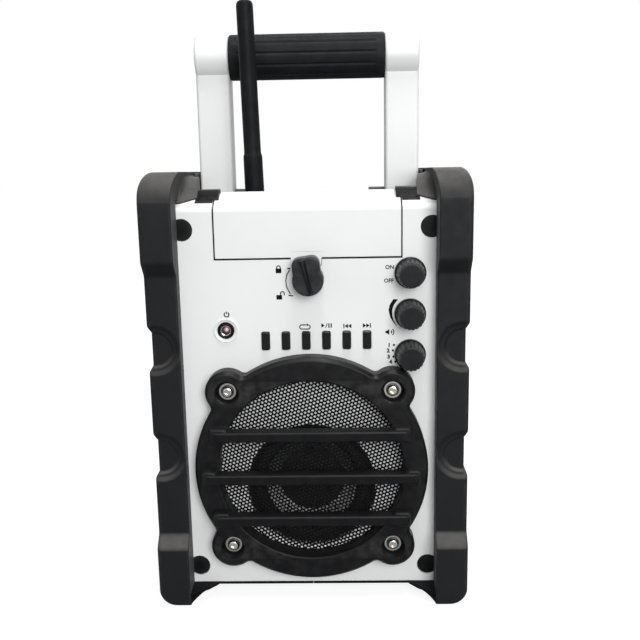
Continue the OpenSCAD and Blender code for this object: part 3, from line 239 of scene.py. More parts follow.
class Bench:
    """A material's nodes, added and joined one at a time."""

    def __init__(self, name):
        self.material = bpy.data.materials.new(name)
        self.material.use_nodes = True
        self.tree = self.material.node_tree
        self.shader = self.tree.nodes["Principled BSDF"]
        self.place = self.add("ShaderNodeTexCoord").outputs["Object"]

    def add(self, kind, **values):
        node = self.tree.nodes.new(kind)
        for key, value in values.items():
            if hasattr(node, key):
                setattr(node, key, value)
            else:
                node.inputs[key.replace("_", " ")].default_value = value
        return node

    def join(self, out, into):
        self.tree.links.new(out, into)

    def stretched(self, scale, turn=(0, 0, 0), place=(0, 0, 0)):
        node = self.add("ShaderNodeMapping", Scale=scale, Rotation=turn, Location=place)
        self.join(self.place, node.inputs["Vector"])
        return node.outputs["Vector"]

    def noise(self, scale, detail=3.0, rough=0.55, vector=None):
        node = self.add("ShaderNodeTexNoise", Scale=scale, Detail=detail, Roughness=rough)
        self.join(vector or self.place, node.inputs["Vector"])
        return node.outputs["Fac"]

    def ranged(self, value, low, high, to_low, to_high):
        node = self.add("ShaderNodeMapRange")
        for key, number in zip(("From Min", "From Max", "To Min", "To Max"), (low, high, to_low, to_high)):
            node.inputs[key].default_value = number
        self.join(value, node.inputs["Value"])
        return node.outputs["Result"]

    def product(self, a, b):
        node = self.add("ShaderNodeMath", operation="MULTIPLY")
        self.join(a, node.inputs[0])
        self.join(b, node.inputs[1])
        return node.outputs[0]

    def upward(self, vector):
        node = self.add("ShaderNodeSeparateXYZ")
        self.join(vector, node.inputs[0])
        return node.outputs["Z"]

    def mixed(self, factor, a, b):
        node = self.add("ShaderNodeMix", data_type="RGBA")
        self.join(factor, node.inputs["Factor"])
        for key, value in (("A", a), ("B", b)):
            socket = [s for s in node.inputs if s.name == key and s.type == "RGBA"][0]
            if isinstance(value, bpy.types.NodeSocket):
                self.join(value, socket)
            else:
                socket.default_value = (*value, 1)
        return [s for s in node.outputs if s.type == "RGBA"][0]

    def bump(self, height, strength, distance):
        node = self.add("ShaderNodeBump", Strength=strength, Distance=distance)
        self.join(height, node.inputs["Height"])
        if self.shader.inputs["Normal"].is_linked:
            self.join(self.shader.inputs["Normal"].links[0].from_socket, node.inputs["Normal"])
        self.join(node.outputs["Normal"], self.shader.inputs["Normal"])


def finish(name, colour, rough, tint=None, patch=35.0, grain=1400.0, relief=0.15, depth=0.0001,
           wear_and_painted_highlight=None, dust_and_painted_top_light=None, **shader):
    """A surface with a broad drift of colour towards tint, a finer drift of gloss, a moulded or cast grain,
    edges paler by wear and a painted highlight, and upward faces paler by dust and painted light from above."""
    b = Bench(name)
    for key, value in shader.items():
        b.shader.inputs[key.replace("_", " ")].default_value = value
    tint = tint or tuple(c * 0.86 for c in colour)
    shade = b.mixed(b.ranged(b.noise(patch, 4), 0.35, 0.68, 0, 1), colour, tint)
    # Edges are paler by wear and by a painted highlight along their rounds.
    if wear_and_painted_highlight:
        edge = b.add("ShaderNodeNewGeometry").outputs["Pointiness"]
        wear_and_highlight_mask = b.product(b.ranged(edge, 0.505, 0.56, 0, 0.75),
                           b.ranged(b.noise(130, 4), 0.38, 0.62, 0.15, 1))
        shade = b.mixed(wear_and_highlight_mask, shade, wear_and_painted_highlight)
    # Faces that look upwards are paler by dust and by painted light from above.
    if dust_and_painted_top_light:
        facing = b.upward(b.add("ShaderNodeNewGeometry").outputs["Normal"])
        dust_and_top_light_mask = b.product(b.ranged(facing, 0.05, 0.85, 0, 1),
                          b.ranged(b.noise(60, 5, 0.65), 0.3, 0.6, 0.55, 1))
        shade = b.mixed(dust_and_top_light_mask, shade, dust_and_painted_top_light)
    b.join(shade, b.shader.inputs["Base Color"])
    glossy, matt = max(rough - SWING, 0.02), min(rough + SWING, 1)
    b.join(b.ranged(b.noise(patch * 3, 3), 0.3, 0.7, glossy, matt), b.shader.inputs["Roughness"])
    b.bump(b.noise(grain, 2, 0.5), relief, depth)
    FINISHES[name] = b.material
    return b


def brushed(name, colour, rough, stretch, **shader):
    """Metal with fine lines along one direction, drawn by a noise squeezed across it."""
    b = finish(name, colour, rough, tint=tuple(c * 0.8 for c in colour), grain=900, relief=0.05,
               Metallic=1.0, **shader)
    b.bump(b.noise(1, 2, 0.6, b.stretched(stretch)), 0.12, 0.00004)
    return b


def make_finishes(colours):
    """Every finish of the radio. Colours are linear."""
    white, rubber, black = tuple(colours.shell), tuple(colours.rubber), tuple(colours.moulding)
    finish("white_shell", white, 0.34, tint=tuple(c * 0.965 for c in white), patch=14, grain=2600,
           relief=0.05, Specular_IOR_Level=0.35)
    moulded = dict(tint=tuple(c * 1.35 for c in rubber), patch=45, grain=1500, relief=0.35, depth=0.00015)
    # Rubber: dust and painted top light on what faces upwards, wear and a painted highlight on its edges.
    finish("rubber", rubber, 0.62, wear_and_painted_highlight=(0.04, 0.041, 0.045), dust_and_painted_top_light=(0.085, 0.083, 0.078),
           Specular_IOR_Level=0.25, Sheen_Weight=0.06, Sheen_Roughness=0.4, **moulded)
    finish("foot_rubber", rubber, 0.6, Specular_IOR_Level=0.08, **moulded)
    # Black moulding: a painted highlight along its edges and painted top light on its tops, besides wear and
    # dust.
    finish("black_moulding", black, 0.42, tint=tuple(c * 1.3 for c in black), patch=40, grain=1900,
           relief=0.2, wear_and_painted_highlight=(0.05, 0.05, 0.051), dust_and_painted_top_light=(0.012, 0.012, 0.012), Specular_IOR_Level=0.15)
    finish("black_gloss", black, 0.2, patch=60, grain=900, relief=0.06, Specular_IOR_Level=0.35)
    finish("knob_plastic", (0.008, 0.0084, 0.0095), 0.36, tint=(0.012, 0.0125, 0.014), patch=120,
           grain=2400, relief=0.12, wear_and_painted_highlight=(0.06, 0.06, 0.063), Specular_IOR_Level=0.2)
    finish("grip_rubber", (0.009, 0.0094, 0.0105), 0.55, tint=(0.014, 0.0145, 0.016), patch=60, grain=1700,
           relief=0.4, depth=0.00015, wear_and_painted_highlight=(0.035, 0.036, 0.039), Specular_IOR_Level=0.1)
    finish("whip_rubber", (0.007, 0.0074, 0.0085), 0.48, tint=(0.011, 0.0115, 0.013), patch=70, grain=1500,
           relief=0.25, Specular_IOR_Level=0.08)
    finish("perforated_black", (0.003, 0.003, 0.0035), 0.5, patch=80, grain=1500, relief=0.15,
           Specular_IOR_Level=0.15)
    finish("surround_rubber", (0.035, 0.036, 0.038), 0.55, patch=90, grain=1200, relief=0.3,
           Specular_IOR_Level=0.15)
    finish("cap_felt", (0.035, 0.035, 0.037), 0.8, patch=200, grain=1400, relief=0.6, depth=0.0002)
    finish("grey_plastic", (0.08, 0.083, 0.09), 0.5, patch=50, grain=1700, relief=0.25)
    finish("black_plastic", (0.016, 0.0165, 0.018), 0.5, patch=50, grain=1700, relief=0.25)
    finish("battery_shell", (0.022, 0.023, 0.026), 0.45, patch=40, grain=1500, relief=0.3,
           wear_and_painted_highlight=(0.07, 0.07, 0.075))
    finish("ferrite", (0.035, 0.035, 0.037), 0.7, tint=(0.055, 0.053, 0.052), patch=220, grain=700,
           relief=0.5, depth=0.0003)
    finish("seal", (0.02, 0.02, 0.021), 0.85, patch=120, grain=900, relief=0.7, depth=0.0003)
    finish("print_ink", (0.002, 0.002, 0.0022), 0.6, patch=200, grain=1800, relief=0.1,
           Specular_IOR_Level=0.1)
    brushed("steel", (0.6, 0.6, 0.61), 0.24, (40, 40, 1800))
    brushed("chrome", (0.8, 0.77, 0.71), 0.16, (1200, 60, 60))
    brushed("dark_metal", (0.1, 0.1, 0.105), 0.32, (1500, 60, 60))
    brushed("brass", (0.62, 0.42, 0.16), 0.25, (60, 60, 1500))
    brushed("copper", (0.6, 0.28, 0.15), 0.3, (60, 2600, 60))
    silver_cone()
    spider_cloth()
    circuit_board()
    lamp_lens()


def silver_cone():
    """A silvered cone with painted shade on its upper half: its colour darkens above a height."""
    b = finish("silver_cone", (0.8, 0.8, 0.81), 0.4, patch=160, grain=1100, relief=0.2, Metallic=0.2)
    # Painted shade: the colour goes from pale below 78 mm to dark above 98 mm, for the shade on the cone's
    # upper half.
    low, high = 0.078, 0.098
    rise = b.ranged(b.upward(b.place), low, high, 0, 1)
    b.join(b.mixed(rise, (0.85, 0.85, 0.86), (0.16, 0.17, 0.17)), b.shader.inputs["Base Color"])


def spider_cloth():
    """A treated cloth with round corrugations about the driver's axis."""
    b = finish("spider_cloth", (0.42, 0.27, 0.09), 0.9, tint=(0.33, 0.2, 0.06), patch=90, grain=1500,
               relief=0.3)
    weave = b.add("ShaderNodeTexWave", wave_type="RINGS", rings_direction="Y", Scale=120.0, Distortion=0.3)
    b.join(b.stretched((1, 1, 1), place=(0, 0, -DRIVER[1] * MM)), weave.inputs["Vector"])
    b.bump(weave.outputs["Fac"], 0.6, 0.0005)


def circuit_board():
    """A green board with tracks laid as the joints of a brick bond."""
    b = finish("circuit_board", (0.012, 0.09, 0.035), 0.4, patch=120, grain=1200, relief=0.1)
    tracks = b.add("ShaderNodeTexBrick", offset=0.5, Scale=140.0, Mortar_Size=0.045,
                   Color1=(0.012, 0.085, 0.033, 1), Color2=(0.009, 0.07, 0.027, 1),
                   Mortar=(0.03, 0.16, 0.06, 1))
    b.join(b.stretched((1, 1, 1), turn=(math.pi / 2, 0, 0)), tracks.inputs["Vector"])
    b.join(tracks.outputs["Color"], b.shader.inputs["Base Color"])
    b.bump(tracks.outputs["Fac"], 0.2, 0.0001)


def lamp_lens():
    """A red-brown lens with a painted pink highlight above and to the right of its middle."""
    b = finish("lamp_lens", (0.1, 0.05, 0.055), 0.14, patch=300, grain=900, relief=0.03, Coat_Weight=0.6,
               Coat_Roughness=0.08)
    # Painted highlight: the colour is pale pink near a point above and right of the lens's middle, dark
    # further away.
    away = b.add("ShaderNodeVectorMath", operation="DISTANCE")
    away.inputs[1].default_value = ((LAMP[0] + 0.7) * MM, (FACE - 1.1) * MM, (LAMP[1] + 0.8) * MM)
    b.join(b.place, away.inputs[0])
    b.join(b.mixed(b.ranged(away.outputs["Value"], 0.0005, 0.0021, 0, 1),
                   (0.62, 0.42, 0.45), (0.045, 0.02, 0.024)), b.shader.inputs["Base Color"])


# ---------- bumpers ----------

LIP, OUTER = 90.0, 113.0     # the bumpers' inner edge and outer side
THICK, MID = 19.2, 10.8      # how far the lip stands in front of the panel, at its ends and between
HIND_THICK, HIND_MID = 12.0, 6.0
STEP_LOW, STEP_HIGH = (45.5, 53.5), (245.0, 255.0)
RAIL_TOP, RAIL_R = 315.5, 23.0
RAIL_FALL = 0.033            # how much the rail falls for each millimetre towards the rear
CROWN = (7.0, 15.0)          # half-axes of the rail's outer corner, seen from the front
SOLE, TOE_R = (14.0, 12.0), 3.0   # half-axes of the sole's outer corner; radius of the toe
LONG_R = 3.0                 # the long outer edges
LIP_LEAN = 3.0               # how far the rail's inner edge leans inwards
GROOVES = (192.5, 113.1)     # middles of the two hand grooves
GROOVE_END = 108.0           # middle of their round ends
GROOVE_DEEP, GROOVE_SIDE = 3.4, 2.38   # their depth in front, and on the side and behind
HIGH = 400                   # above everything


def eased(z, knots, levels, ease=1.3):
    """Straight runs between knots, their corners rounded by the mean of nine shifted copies."""
    return np.mean([np.interp(z + w, knots, levels) for w in np.linspace(-ease, ease, 9)], axis=0)


def lip_height(z, thick, mid):
    """How far a lip stands out at height z: thick ends and a thinner middle, less the quarter rounds
    r - sqrt(r^2 - d^2) at top and toe."""
    out = eased(z, [0, *STEP_LOW, *STEP_HIGH, HIGH], [thick, thick, mid, mid, thick, thick])
    over = np.clip(z - (RAIL_TOP - RAIL_R), 0, RAIL_R)
    under = np.clip(TOE_R - z, 0, TOE_R)
    return out - (RAIL_R - np.sqrt(RAIL_R ** 2 - over ** 2)) - (TOE_R - np.sqrt(TOE_R ** 2 - under ** 2))


def side_out(z):
    """The bumper's outer side: upright, with an elliptic crown and a round sole, let in by the grooves."""
    over = np.clip((z - (RAIL_TOP - CROWN[1])) / CROWN[1], 0, 1)
    under = np.clip((SOLE[1] - z) / SOLE[1], 0, 1)
    groove = sum(eased(np.abs(z - g), [0, 12.2, 16.2, HIGH], [GROOVE_SIDE, GROOVE_SIDE, 0, 0], 0.5)
                 for g in GROOVES)
    return OUTER - CROWN[0] * (1 - np.sqrt(1 - over ** 2)) - SOLE[0] * (1 - np.sqrt(1 - under ** 2)) - groove


def groove_depth(x, z, deep):
    """A round-ended groove: its floor is deep, and its wall comes up in two slants with a ledge between
    them. The distance is that from the round end's middle, or from the middle line where x is past it."""
    total = 0
    wall = np.array([1, 1, 0.52, 0.46, 0, 0]) * deep
    for g in GROOVES:
        away = np.where(x < GROOVE_END, np.hypot(x - GROOVE_END, z - g), np.abs(z - g))
        total = total + eased(away, [0, 11.8, 13.2, 15.2, 18.2, HIGH], wall, 0.35)
    return total


def bumper_heights():
    """Heights of the rings: close together at the toe, the steps, the grooves and the crown."""
    toe = SOLE[1] * (1 - np.cos(np.radians(np.linspace(0, 90, 15))))
    crown = RAIL_TOP - CROWN[1] * (1 - np.sin(np.radians(np.linspace(0, 90, 19))))
    spans = [(12, 42, 9), (42, 57, 20), (57, 93, 10), (93, 133, 65), (133, 172.5, 11), (172.5, 212.5, 65),
             (212.5, 241, 8), (241, 259, 23), (259, 298.5, 11)]
    ledges = [UNDER - 0.1, UNDER, DECK - 0.1, DECK]
    between = [np.linspace(a, b, n) for a, b, n in spans]
    return np.unique(np.round(np.concatenate([toe, crown, ledges] + between), 4))


def bumper_shell(edge):
    """Rings of one bumper's U-shaped section: up the inner wall of the front lip, across its face, back
    along the side, round the rear lip, and home along the housing. Every column is a function of height.
    Above the deck the inner edge leans inwards with the square of the height, and the rail falls a little
    towards the rear."""
    z = bumper_heights()
    out = side_out(z)
    front = FACE - lip_height(z, THICK, MID)
    rear = REAR + lip_height(z, HIND_THICK, HIND_MID)
    lip = LIP - LIP_LEAN * (np.clip(z - DECK, 0, None) / (RAIL_TOP - DECK)) ** 2
    wall = np.where((z < UNDER - 0.05) | (z > DECK - 0.05), lip, SIDE)
    quarter = [(1 - math.sin(t), 1 - math.cos(t)) for t in np.radians(np.linspace(0, 90, 6))]
    cols = []

    def column(x, y):
        cols.append(np.stack([x + 0 * z, y + 0 * z, z], -1))

    def between(count):
        return np.linspace(0, 1, count)[1:-1]

    for t in np.linspace(0, 1, 4)[:-1]:
        column(lip, FACE * (1 - t) + (front + edge) * t)
    for a, b in quarter:
        x = lip + edge * b
        column(x, front + edge * a + groove_depth(x, z, GROOVE_DEEP))
    for t in between(26):
        x = lip + edge + (out - LONG_R - lip - edge) * t
        column(x, front + groove_depth(x, z, GROOVE_DEEP))
    dip = groove_depth(OUTER + 0 * z, z, GROOVE_DEEP)
    for a, b in quarter:
        column(out - LONG_R * a, front + LONG_R * b + dip)
    hind_dip = groove_depth(OUTER + 0 * z, z, GROOVE_SIDE)
    for t in between(18):
        column(out, (front + LONG_R + dip) * (1 - t) + (rear - LONG_R - hind_dip) * t)
    for a, b in quarter:
        column(out - LONG_R * b, rear - LONG_R * a - hind_dip)
    for t in between(18):
        x = out - LONG_R + (lip + edge - out + LONG_R) * t
        column(x, rear - groove_depth(x, z, GROOVE_SIDE))
    for a, b in quarter:
        x = lip + edge * a
        column(x, rear - edge * b - groove_depth(x, z, GROOVE_SIDE))
    column(lip, REAR)
    column(wall, REAR)
    column(wall, FACE)
    rings = np.stack(cols, 1)
    rise = np.clip((rings[:, :, 2] - DECK) / (RAIL_TOP - DECK), 0, 1)
    rings[:, :, 2] -= RAIL_FALL * np.clip(rings[:, :, 1] - (FACE - THICK + RAIL_R), 0, None) * rise
    return skin(rings)


SADDLE_X = 76.2              # the saddle's side next to the handle's leg
SADDLE_FOOT = 290.0
SADDLE_TOP = ((1, 20, 28, 36, 43, 65), (0, 9.5, 12.7, 15.6, 17.4, 17.6))   # depth; height over the panel
SADDLE_SECTIONS = ((0, 0.9), (0.01, 0.45), (0.03, 0.15), (0.07, 0),
                   *((t, 0) for t in np.linspace(0.14, 0.7, 15)), (1, 0))  # place across; easing


def saddle():
    """The saddle between the rail and the handle's leg: sections across x under one top line that climbs
    from the panel to the rail. Their front stands back in a slant, and the side beside the leg runs
    outwards as it goes back. A cove joins it to the rail: the top rises by h(1 - sqrt(1 - u^2)) as u goes
    from the leg to the rail, where h grows smoothly from the front."""
    rings = []
    for t, e in SADDLE_SECTIONS:
        front = max(10.9 - 0.4957 * (SADDLE_X + (JOIN_X - SADDLE_X) * t - 78.5), 5.2) + e
        depth = front + np.concatenate([[0, 0.12, 0.4, 0.9], np.linspace(2, 63.5 - front, 40)])
        inner = SADDLE_X + 0.1257 * (depth - 11)
        across = (JOIN_X - inner) * t
        top = TOP + eased(depth, *SADDLE_TOP, ease=2.0) - e
        along = np.clip((depth - front) / 26, 0, 1)
        rail = RAIL_TOP - RAIL_FALL * np.clip(FACE + depth + 61.2, 0, None) - 0.6
        u = np.clip((across - 1) / (87.6 - inner), 0, 1)
        top += np.clip(rail - top, 0, None) * along * along * (3 - 2 * along) * (1 - np.sqrt(1 - u ** 2))
        top[:4] -= [0.9, 0.42, 0.1, 0]
        section = np.stack([inner + across, FACE + depth, top], 1)
        section = np.concatenate([section[:1], section, section[-1:]])
        section[[0, -1], 2] = SADDLE_FOOT
        rings.append(section)
    return skin(rings)


def rail_block():
    """The rail's plain inner side behind the handle's pivot, falling with the rail."""
    return slab([[-2, 294], [73.5, 294], [73.5, 310.2], [-2, 312.6]], 85.6, JOIN_X, "x", 1.2)


FOOT_RINGS = ((0, 90.2), (0.25, 88.9), (0.8, 87.3), (1.7, 85.6), (2.8, 83.9), (4, 82), (5.6, 79.4),
              (7, 76.6), (7.9, 74), (8.4, 71.5), (UNDER, 71.5))      # height; inner edge


def foot():
    """The foot beside the lip: sections in plan whose front runs back in a slant, and whose inner side
    curves out to the ground, and the thin belt that joins the two bumpers under the panel. The inner toe
    goes out by r(1 - sqrt(1 - u^2)) as the last 3 mm go down to the ground."""
    rings = []
    for z, inner in FOOT_RINGS:
        toe = 89.5 + TOE_R * (1 - math.sqrt(1 - (1 - min(z, TOE_R) / TOE_R) ** 2))
        front = -82.8 + max(0, 1.2 - z) * 0.8
        plan = [[JOIN_X, -80], [JOIN_X, 82], [inner, 82], [inner, -67],
                [inner + 0.35 * (toe - inner), -74.5], [toe, front]]
        rings.append(stood(plan, z, "z"))
    belt = slab([[0.1, 8.2], [80, 8.2], [80, UNDER], [0.1, UNDER]], FACE - 0.9, REAR + 0.9, "y", 0.4)
    return [skin(rings), belt]


# ---------- speaker ----------

GUARD_X, GUARD_Z, GUARD_R, OPEN_R = 0.5, 102.3, 84.0, 66.6
EAR = 58.7                   # each ear's middle, across and up from the guard's
EAR_R, FILLET_R = 15.8, 5.0
GUARD_WALL, GUARD_FACE = -75.4, -78.0
MOUTH_R = 1.6                # the rounding of the opening's front edge
WELL_R, SCREW_R, SEAT = 8.8, 2.3, -71.0    # the ears' wells, their screw holes and where the washers lie
BARS = ((28.7, 70.3, 57.6), (-3.1, 77.5, 66.5), (-34.6, 70.2, 57.6))   # rise, half length, pads' start
BAR_H, BAR_FRONT = 7.2, -87.0
EARS = [(GUARD_X + sx * EAR, GUARD_Z + sz * EAR) for sx in (LEFT, RIGHT) for sz in (LEFT, RIGHT)]
DRIVER = (0.0, 86.0)
BAFFLE = -58.0
SHEET = (FACE + 0.05, FACE + 0.75)     # front and back of the perforated sheet


def guard_outline():
    """A circle with four round ears. Each ear joins it by a fillet circle that touches both, its middle at
    the law of cosines' angle."""
    reach, far = EAR * math.sqrt(2), GUARD_R + FILLET_R
    lean = math.acos((far ** 2 + reach ** 2 - (EAR_R + FILLET_R) ** 2) / (2 * far * reach))
    fx, fy = far * math.cos(lean), far * math.sin(lean)
    lean = math.degrees(lean)
    to_ear = math.degrees(math.atan2(-fy, reach - fx))
    ear_from = math.degrees(math.atan2(fy, fx - reach))
    quarter = np.concatenate([arc(reach, 0, EAR_R, -ear_from, ear_from, 26)[:-1],
                              arc(fx, fy, FILLET_R, to_ear + 360, lean + 180, 7)[:-1],
                              arc(0, 0, GUARD_R, lean, 90 - lean, 22)[:-1],
                              arc(fy, fx, FILLET_R, 270 - lean, 90 - to_ear, 7)[:-1]])
    turns = []
    for a in np.radians([45, 135, 225, 315]):
        turns.append(quarter @ np.array([[math.cos(a), math.sin(a)], [-math.sin(a), math.cos(a)]]))
    return anticlockwise(np.concatenate(turns) + [GUARD_X, GUARD_Z])


def round_about(centre, r, steps=48):
    """A circle as an outline."""
    return arc(centre[0], centre[1], r, 0, 360, steps)[:-1]


def guard_plate(bevel):
    """The guard's one plate: upright wall, straight bevel with eased corners, flat face with four tapered
    screw wells, rounded inner lip."""
    outline, middle = guard_outline(), (GUARD_X, GUARD_Z)
    flat = bevel + 0.35
    levels = [(0, FACE), (0, GUARD_WALL + 0.4), (0.12, GUARD_WALL + 0.1), (0.4, GUARD_WALL - 0.3),
              (bevel - 0.4, GUARD_FACE + 0.35), (bevel - 0.1, GUARD_FACE + 0.08), (flat, GUARD_FACE)]
    before = [round_about(middle, OPEN_R + MOUTH_R, 128)] + [round_about(e, WELL_R) for e in EARS]
    behind = [round_about(middle, OPEN_R, 128)] + [round_about(e, SCREW_R) for e in EARS]
    parts = [stack(outline, levels, "y", capped=False),
             sheet_with_holes(inset(outline, flat), before, GUARD_FACE),
             sheet_with_holes(outline, behind, FACE)]
    t = np.linspace(0, math.pi / 2, 6)
    inner = np.stack([OPEN_R + MOUTH_R * (1 - np.cos(t)), GUARD_FACE + MOUTH_R * (1 - np.sin(t))], 1)
    parts.append(lathe(np.concatenate([[[OPEN_R, FACE]], inner]), middle, 128))
    well = [(WELL_R, GUARD_FACE), (8.55, GUARD_FACE + 0.35), (7.4, SEAT), (SCREW_R, SEAT), (SCREW_R, FACE)]
    return parts + [lathe(well, e) for e in EARS]


PAD_EASING = ((0, 0), (0.25, 0), (0.5, 0), (0.78, 0), (0.88, 0.1), (0.95, 0.35), (0.985, 0.75), (1, 1.2))


def guard_bar(rise, half, pad):
    """A bar across the guard whose ends round back to the ring, with a tapered pad under each end that
    stands on the ring's face. Each pad is a row of rounded rectangles whose sides move in as they go out,
    and whose front edge is rounded."""
    z, h, edge, bend = GUARD_Z + rise, BAR_H / 2, 1.3, -82.0
    outline = soften([[GUARD_X - half, z - h], [GUARD_X + half, z - h],
                      [GUARD_X + half, z + h], [GUARD_X - half, z + h]], 1.6, 5)
    levels = [(0.3, GUARD_FACE + 1.6), (0, GUARD_FACE + 1.2)]
    levels += [(0, y) for y in np.linspace(bend, BAR_FRONT + edge, 6)]
    levels += [(edge * (1 - math.cos(t)), BAR_FRONT + edge * (1 - math.sin(t)))
               for t in np.linspace(0, math.pi / 2, 6)[1:]]
    rings = []
    for e, y in levels:
        ring = inset(outline, e)
        back = 4.0 * (1 - math.sqrt(1 - max((bend - y) / 5, 0) ** 2))
        ring[:, 0] = GUARD_X + (ring[:, 0] - GUARD_X) * (1 - back / half)
        rings.append(stood(ring, y, "y"))
    parts = [skin(rings)]
    for s in (LEFT, RIGHT):
        rings = []
        for t, e in PAD_EASING:
            h, out, inn = 6.6 - 1.4 * t, half + 1.6 - t, pad + 1.4 * t
            box = inset(soften([[inn, -h], [out, -h], [out, h], [inn, h]], 2.8, 5), e)
            ring = np.stack([GUARD_X + s * box[:, 0], z + box[:, 1]], 1)
            rings.append(stood(ring, GUARD_FACE + 0.3 - 7.3 * t, "y"))
        parts.append(skin(rings))
    return parts


def perforated_sheet(pitch, hole, turn):
    """A flat sheet of hexagonal cells, each with a round hole: the cell's rim and the hole's rim in front,
    then the same two behind, twelve points each, for every lattice place inside the guard's opening.
    Neighbours' rims are the same points."""
    n = int(OPEN_R / pitch * 1.3)
    i, j = np.meshgrid(np.arange(-n, n + 1), np.arange(-n, n + 1))
    x = (i + 0.5 * (j % 2)) * pitch
    z = j * pitch * math.sin(math.pi / 3)
    keep = np.hypot(x, z) < OPEN_R + 1.8
    x, z = x[keep][:, None], z[keep][:, None]
    k = np.arange(12)
    t = np.radians(k * 30 + 30)
    rim = pitch / 2 / np.cos(((k + 1) % 2) * math.pi / 6)
    c, s = math.cos(turn), math.sin(turn)
    rings = []
    for r, y in ((rim, SHEET[0]), (hole / 2, SHEET[0]), (hole / 2, SHEET[1]), (rim, SHEET[1])):
        u, v = x + r * np.cos(t), z + r * np.sin(t)
        rings.append(np.stack([GUARD_X + u * c - v * s, y + 0 * u, GUARD_Z + u * s + v * c], -1))
    points = np.stack(rings, 1)
    base = (np.arange(len(points)) * 48)[:, None]
    after = (k + 1) % 12
    faces = [np.stack([base + a + k, base + a + after, base + a + 12 + after, base + a + 12 + k], -1)
             for a in (0, 12, 24)]
    return points.reshape(-1, 3), np.concatenate(faces).reshape(-1, 4).tolist()


def sheet_rim():
    """The plain rim of the sheet, held under the guard's ring."""
    inner, outer, front, back = OPEN_R - 0.2, 69.9, SHEET[0] - 0.03, SHEET[1] + 0.03
    section = [(inner, back), (outer, back), (outer, front), (inner, front), (inner, back)]
    return lathe(section, (GUARD_X, GUARD_Z), 128)


def driver_profile(points):
    """A driver piece's profile, given as (radius, depth behind the baffle)."""
    return [(r, BAFFLE + d) for r, d in points]


def surround_roll():
    """The surround: a half roll of mean radius 39, standing forward, closed behind."""
    t = np.linspace(0, math.pi, 15)
    front = np.stack([39 + 4.9 * np.cos(t), 1.0 - 4.9 * np.sin(t)], 1)
    behind = np.stack([39 + 4.0 * np.cos(t), 1.1 - 4.0 * np.sin(t)], 1)[::-1]
    loop = np.concatenate([[[47.4, 1.1], [47.4, 0.1], [45, 0.1]], front, [[34.0, 0.95], [34.0, 1.4]],
                           behind, [[45, 1.1], [47.4, 1.1]]])
    return lathe(driver_profile(loop), DRIVER, 96)


CONE = ((33.7, 1.6), (33.2, 1.3), (24.3, 9.7), (13, 14.0), (13, 14.7), (24.0, 10.5), (33.1, 2.2), (33.7, 1.6))


def cap_dome():
    """The dust cap: radius 24.3 cos t as it comes forward by 7.1 sin t, and its hollow back."""
    t = np.radians(np.linspace(4, 90, 14))
    dome = np.concatenate([[[24.2, 9.8], [24.3, 9.2]], np.stack([24.3 * np.cos(t), 9.2 - 7.1 * np.sin(t)], 1),
                           [[0, 2.9], [12, 4.6], [20, 7.6], [23.4, 9.8], [24.2, 9.8]]])
    return lathe(driver_profile(dome), DRIVER, 72)


# ---------- controls ----------

KNOBS = (("power", 243.7, 0.1), ("volume", 214.45, 0.22), ("source", 185.2, 0.05))   # height; turn
KNOB_X, KNOB_R, KNOB_FRONT = 72.0, 11.1, -81.2
LATCH = (0.9, 240.6)
KEYS = (-30.4, -16.0, -1.6, 12.8, 27.2, 41.6)
KEY_Z, KEY_W, KEY_H = 196.0, 5.7, 13.1
LAMP = (-58.5, 204.0)


KNOB_SECTION = ((9.5, -65.8), (10.8, -65.8), (KNOB_R, -66.1), (KNOB_R, -67.5), (10.85, -68.1), (10.2, -68.5),
                (10.1, -69.0), (9.9, -71), (9.55, -74), (9.2, -77.4), (8.95, -79.6), (8.75, -80.5),
                (8.3, -81.05), (7.6, KNOB_FRONT), (6.8, KNOB_FRONT), (0, KNOB_FRONT))
KNOB_DENTS = np.array([0] * 6 + [0.3, 1, 1, 1, 1, 1, 0.9, 0.5, 0, 0]) * 0.07


def rotary_knob(z, flutes, turned):
    """A tapered knob on a thin flange. Its grip's radius is multiplied by 1 - d max(0, cos nt)^1.6, so that
    it is scalloped to its front edge."""
    def scallop(t, row):
        return 1 - KNOB_DENTS[row] * np.maximum(0, np.cos(flutes * (t + turned))) ** 1.6

    steps = flutes * 6
    return [lathe(KNOB_SECTION, (KNOB_X, z), steps, scallop),
            lathe([(9.5, -65.8), (9.5, -66.4), (0, -66.4)], (KNOB_X, z), steps)]


def latch_outline(r, half, rise, ease):
    """A round body joined to a round-cornered lobe."""
    start = math.degrees(math.acos(half / r))
    body = arc(0, 0, r, 180 - start, 360 + start, 40)
    shape = np.concatenate([body, [[half, rise], [-half, rise]]])
    radius = np.zeros(len(shape))
    radius[[0, len(body) - 1]] = 2.0
    radius[-2:] = ease
    return soften(shape, radius, 7)


def latch_knob():
    """The latch's knob: body and lobe in one moulding, its front edge eased, with a thin raised rib across
    it that leans a little further than the lobe."""
    def leaning(angle):
        place = Matrix.Translation((LATCH[0], 0, LATCH[1]))
        return place @ Matrix.Rotation(math.radians(-angle), 4, "Y")

    body = stack(latch_outline(10.9, 9.7, 16.2, 5.4),
                 [(0.4, -65.7), (0, -66.2), (0, -76.4), (0.25, -77.2), (0.8, -77.8), (1.5, -78)], "y")
    rib = soften([[-1.2, -9.4], [1.2, -9.4], [2.0, 15.3], [-2.0, 15.3]], 0.5, 4)
    ridge = stack(rib, [(0, -77.4), (0.3, -80.2), (0.6, -81.0), (0.9, -81.4)], "y")
    return [moved(body, leaning(8)), moved(ridge, leaning(14))]


def key_cap(x, front):
    """A push button: a slab with round corners and a softly rounded front."""
    w, h = KEY_W / 2 - 0.05, KEY_H / 2 - 0.05
    outline = soften([[x - w, KEY_Z - h], [x + w, KEY_Z - h], [x + w, KEY_Z + h], [x - w, KEY_Z + h]], 1.1, 5)
    return stack(outline, rounded_ends(-63.4, front, 0.1, 0.9, 5), "y")


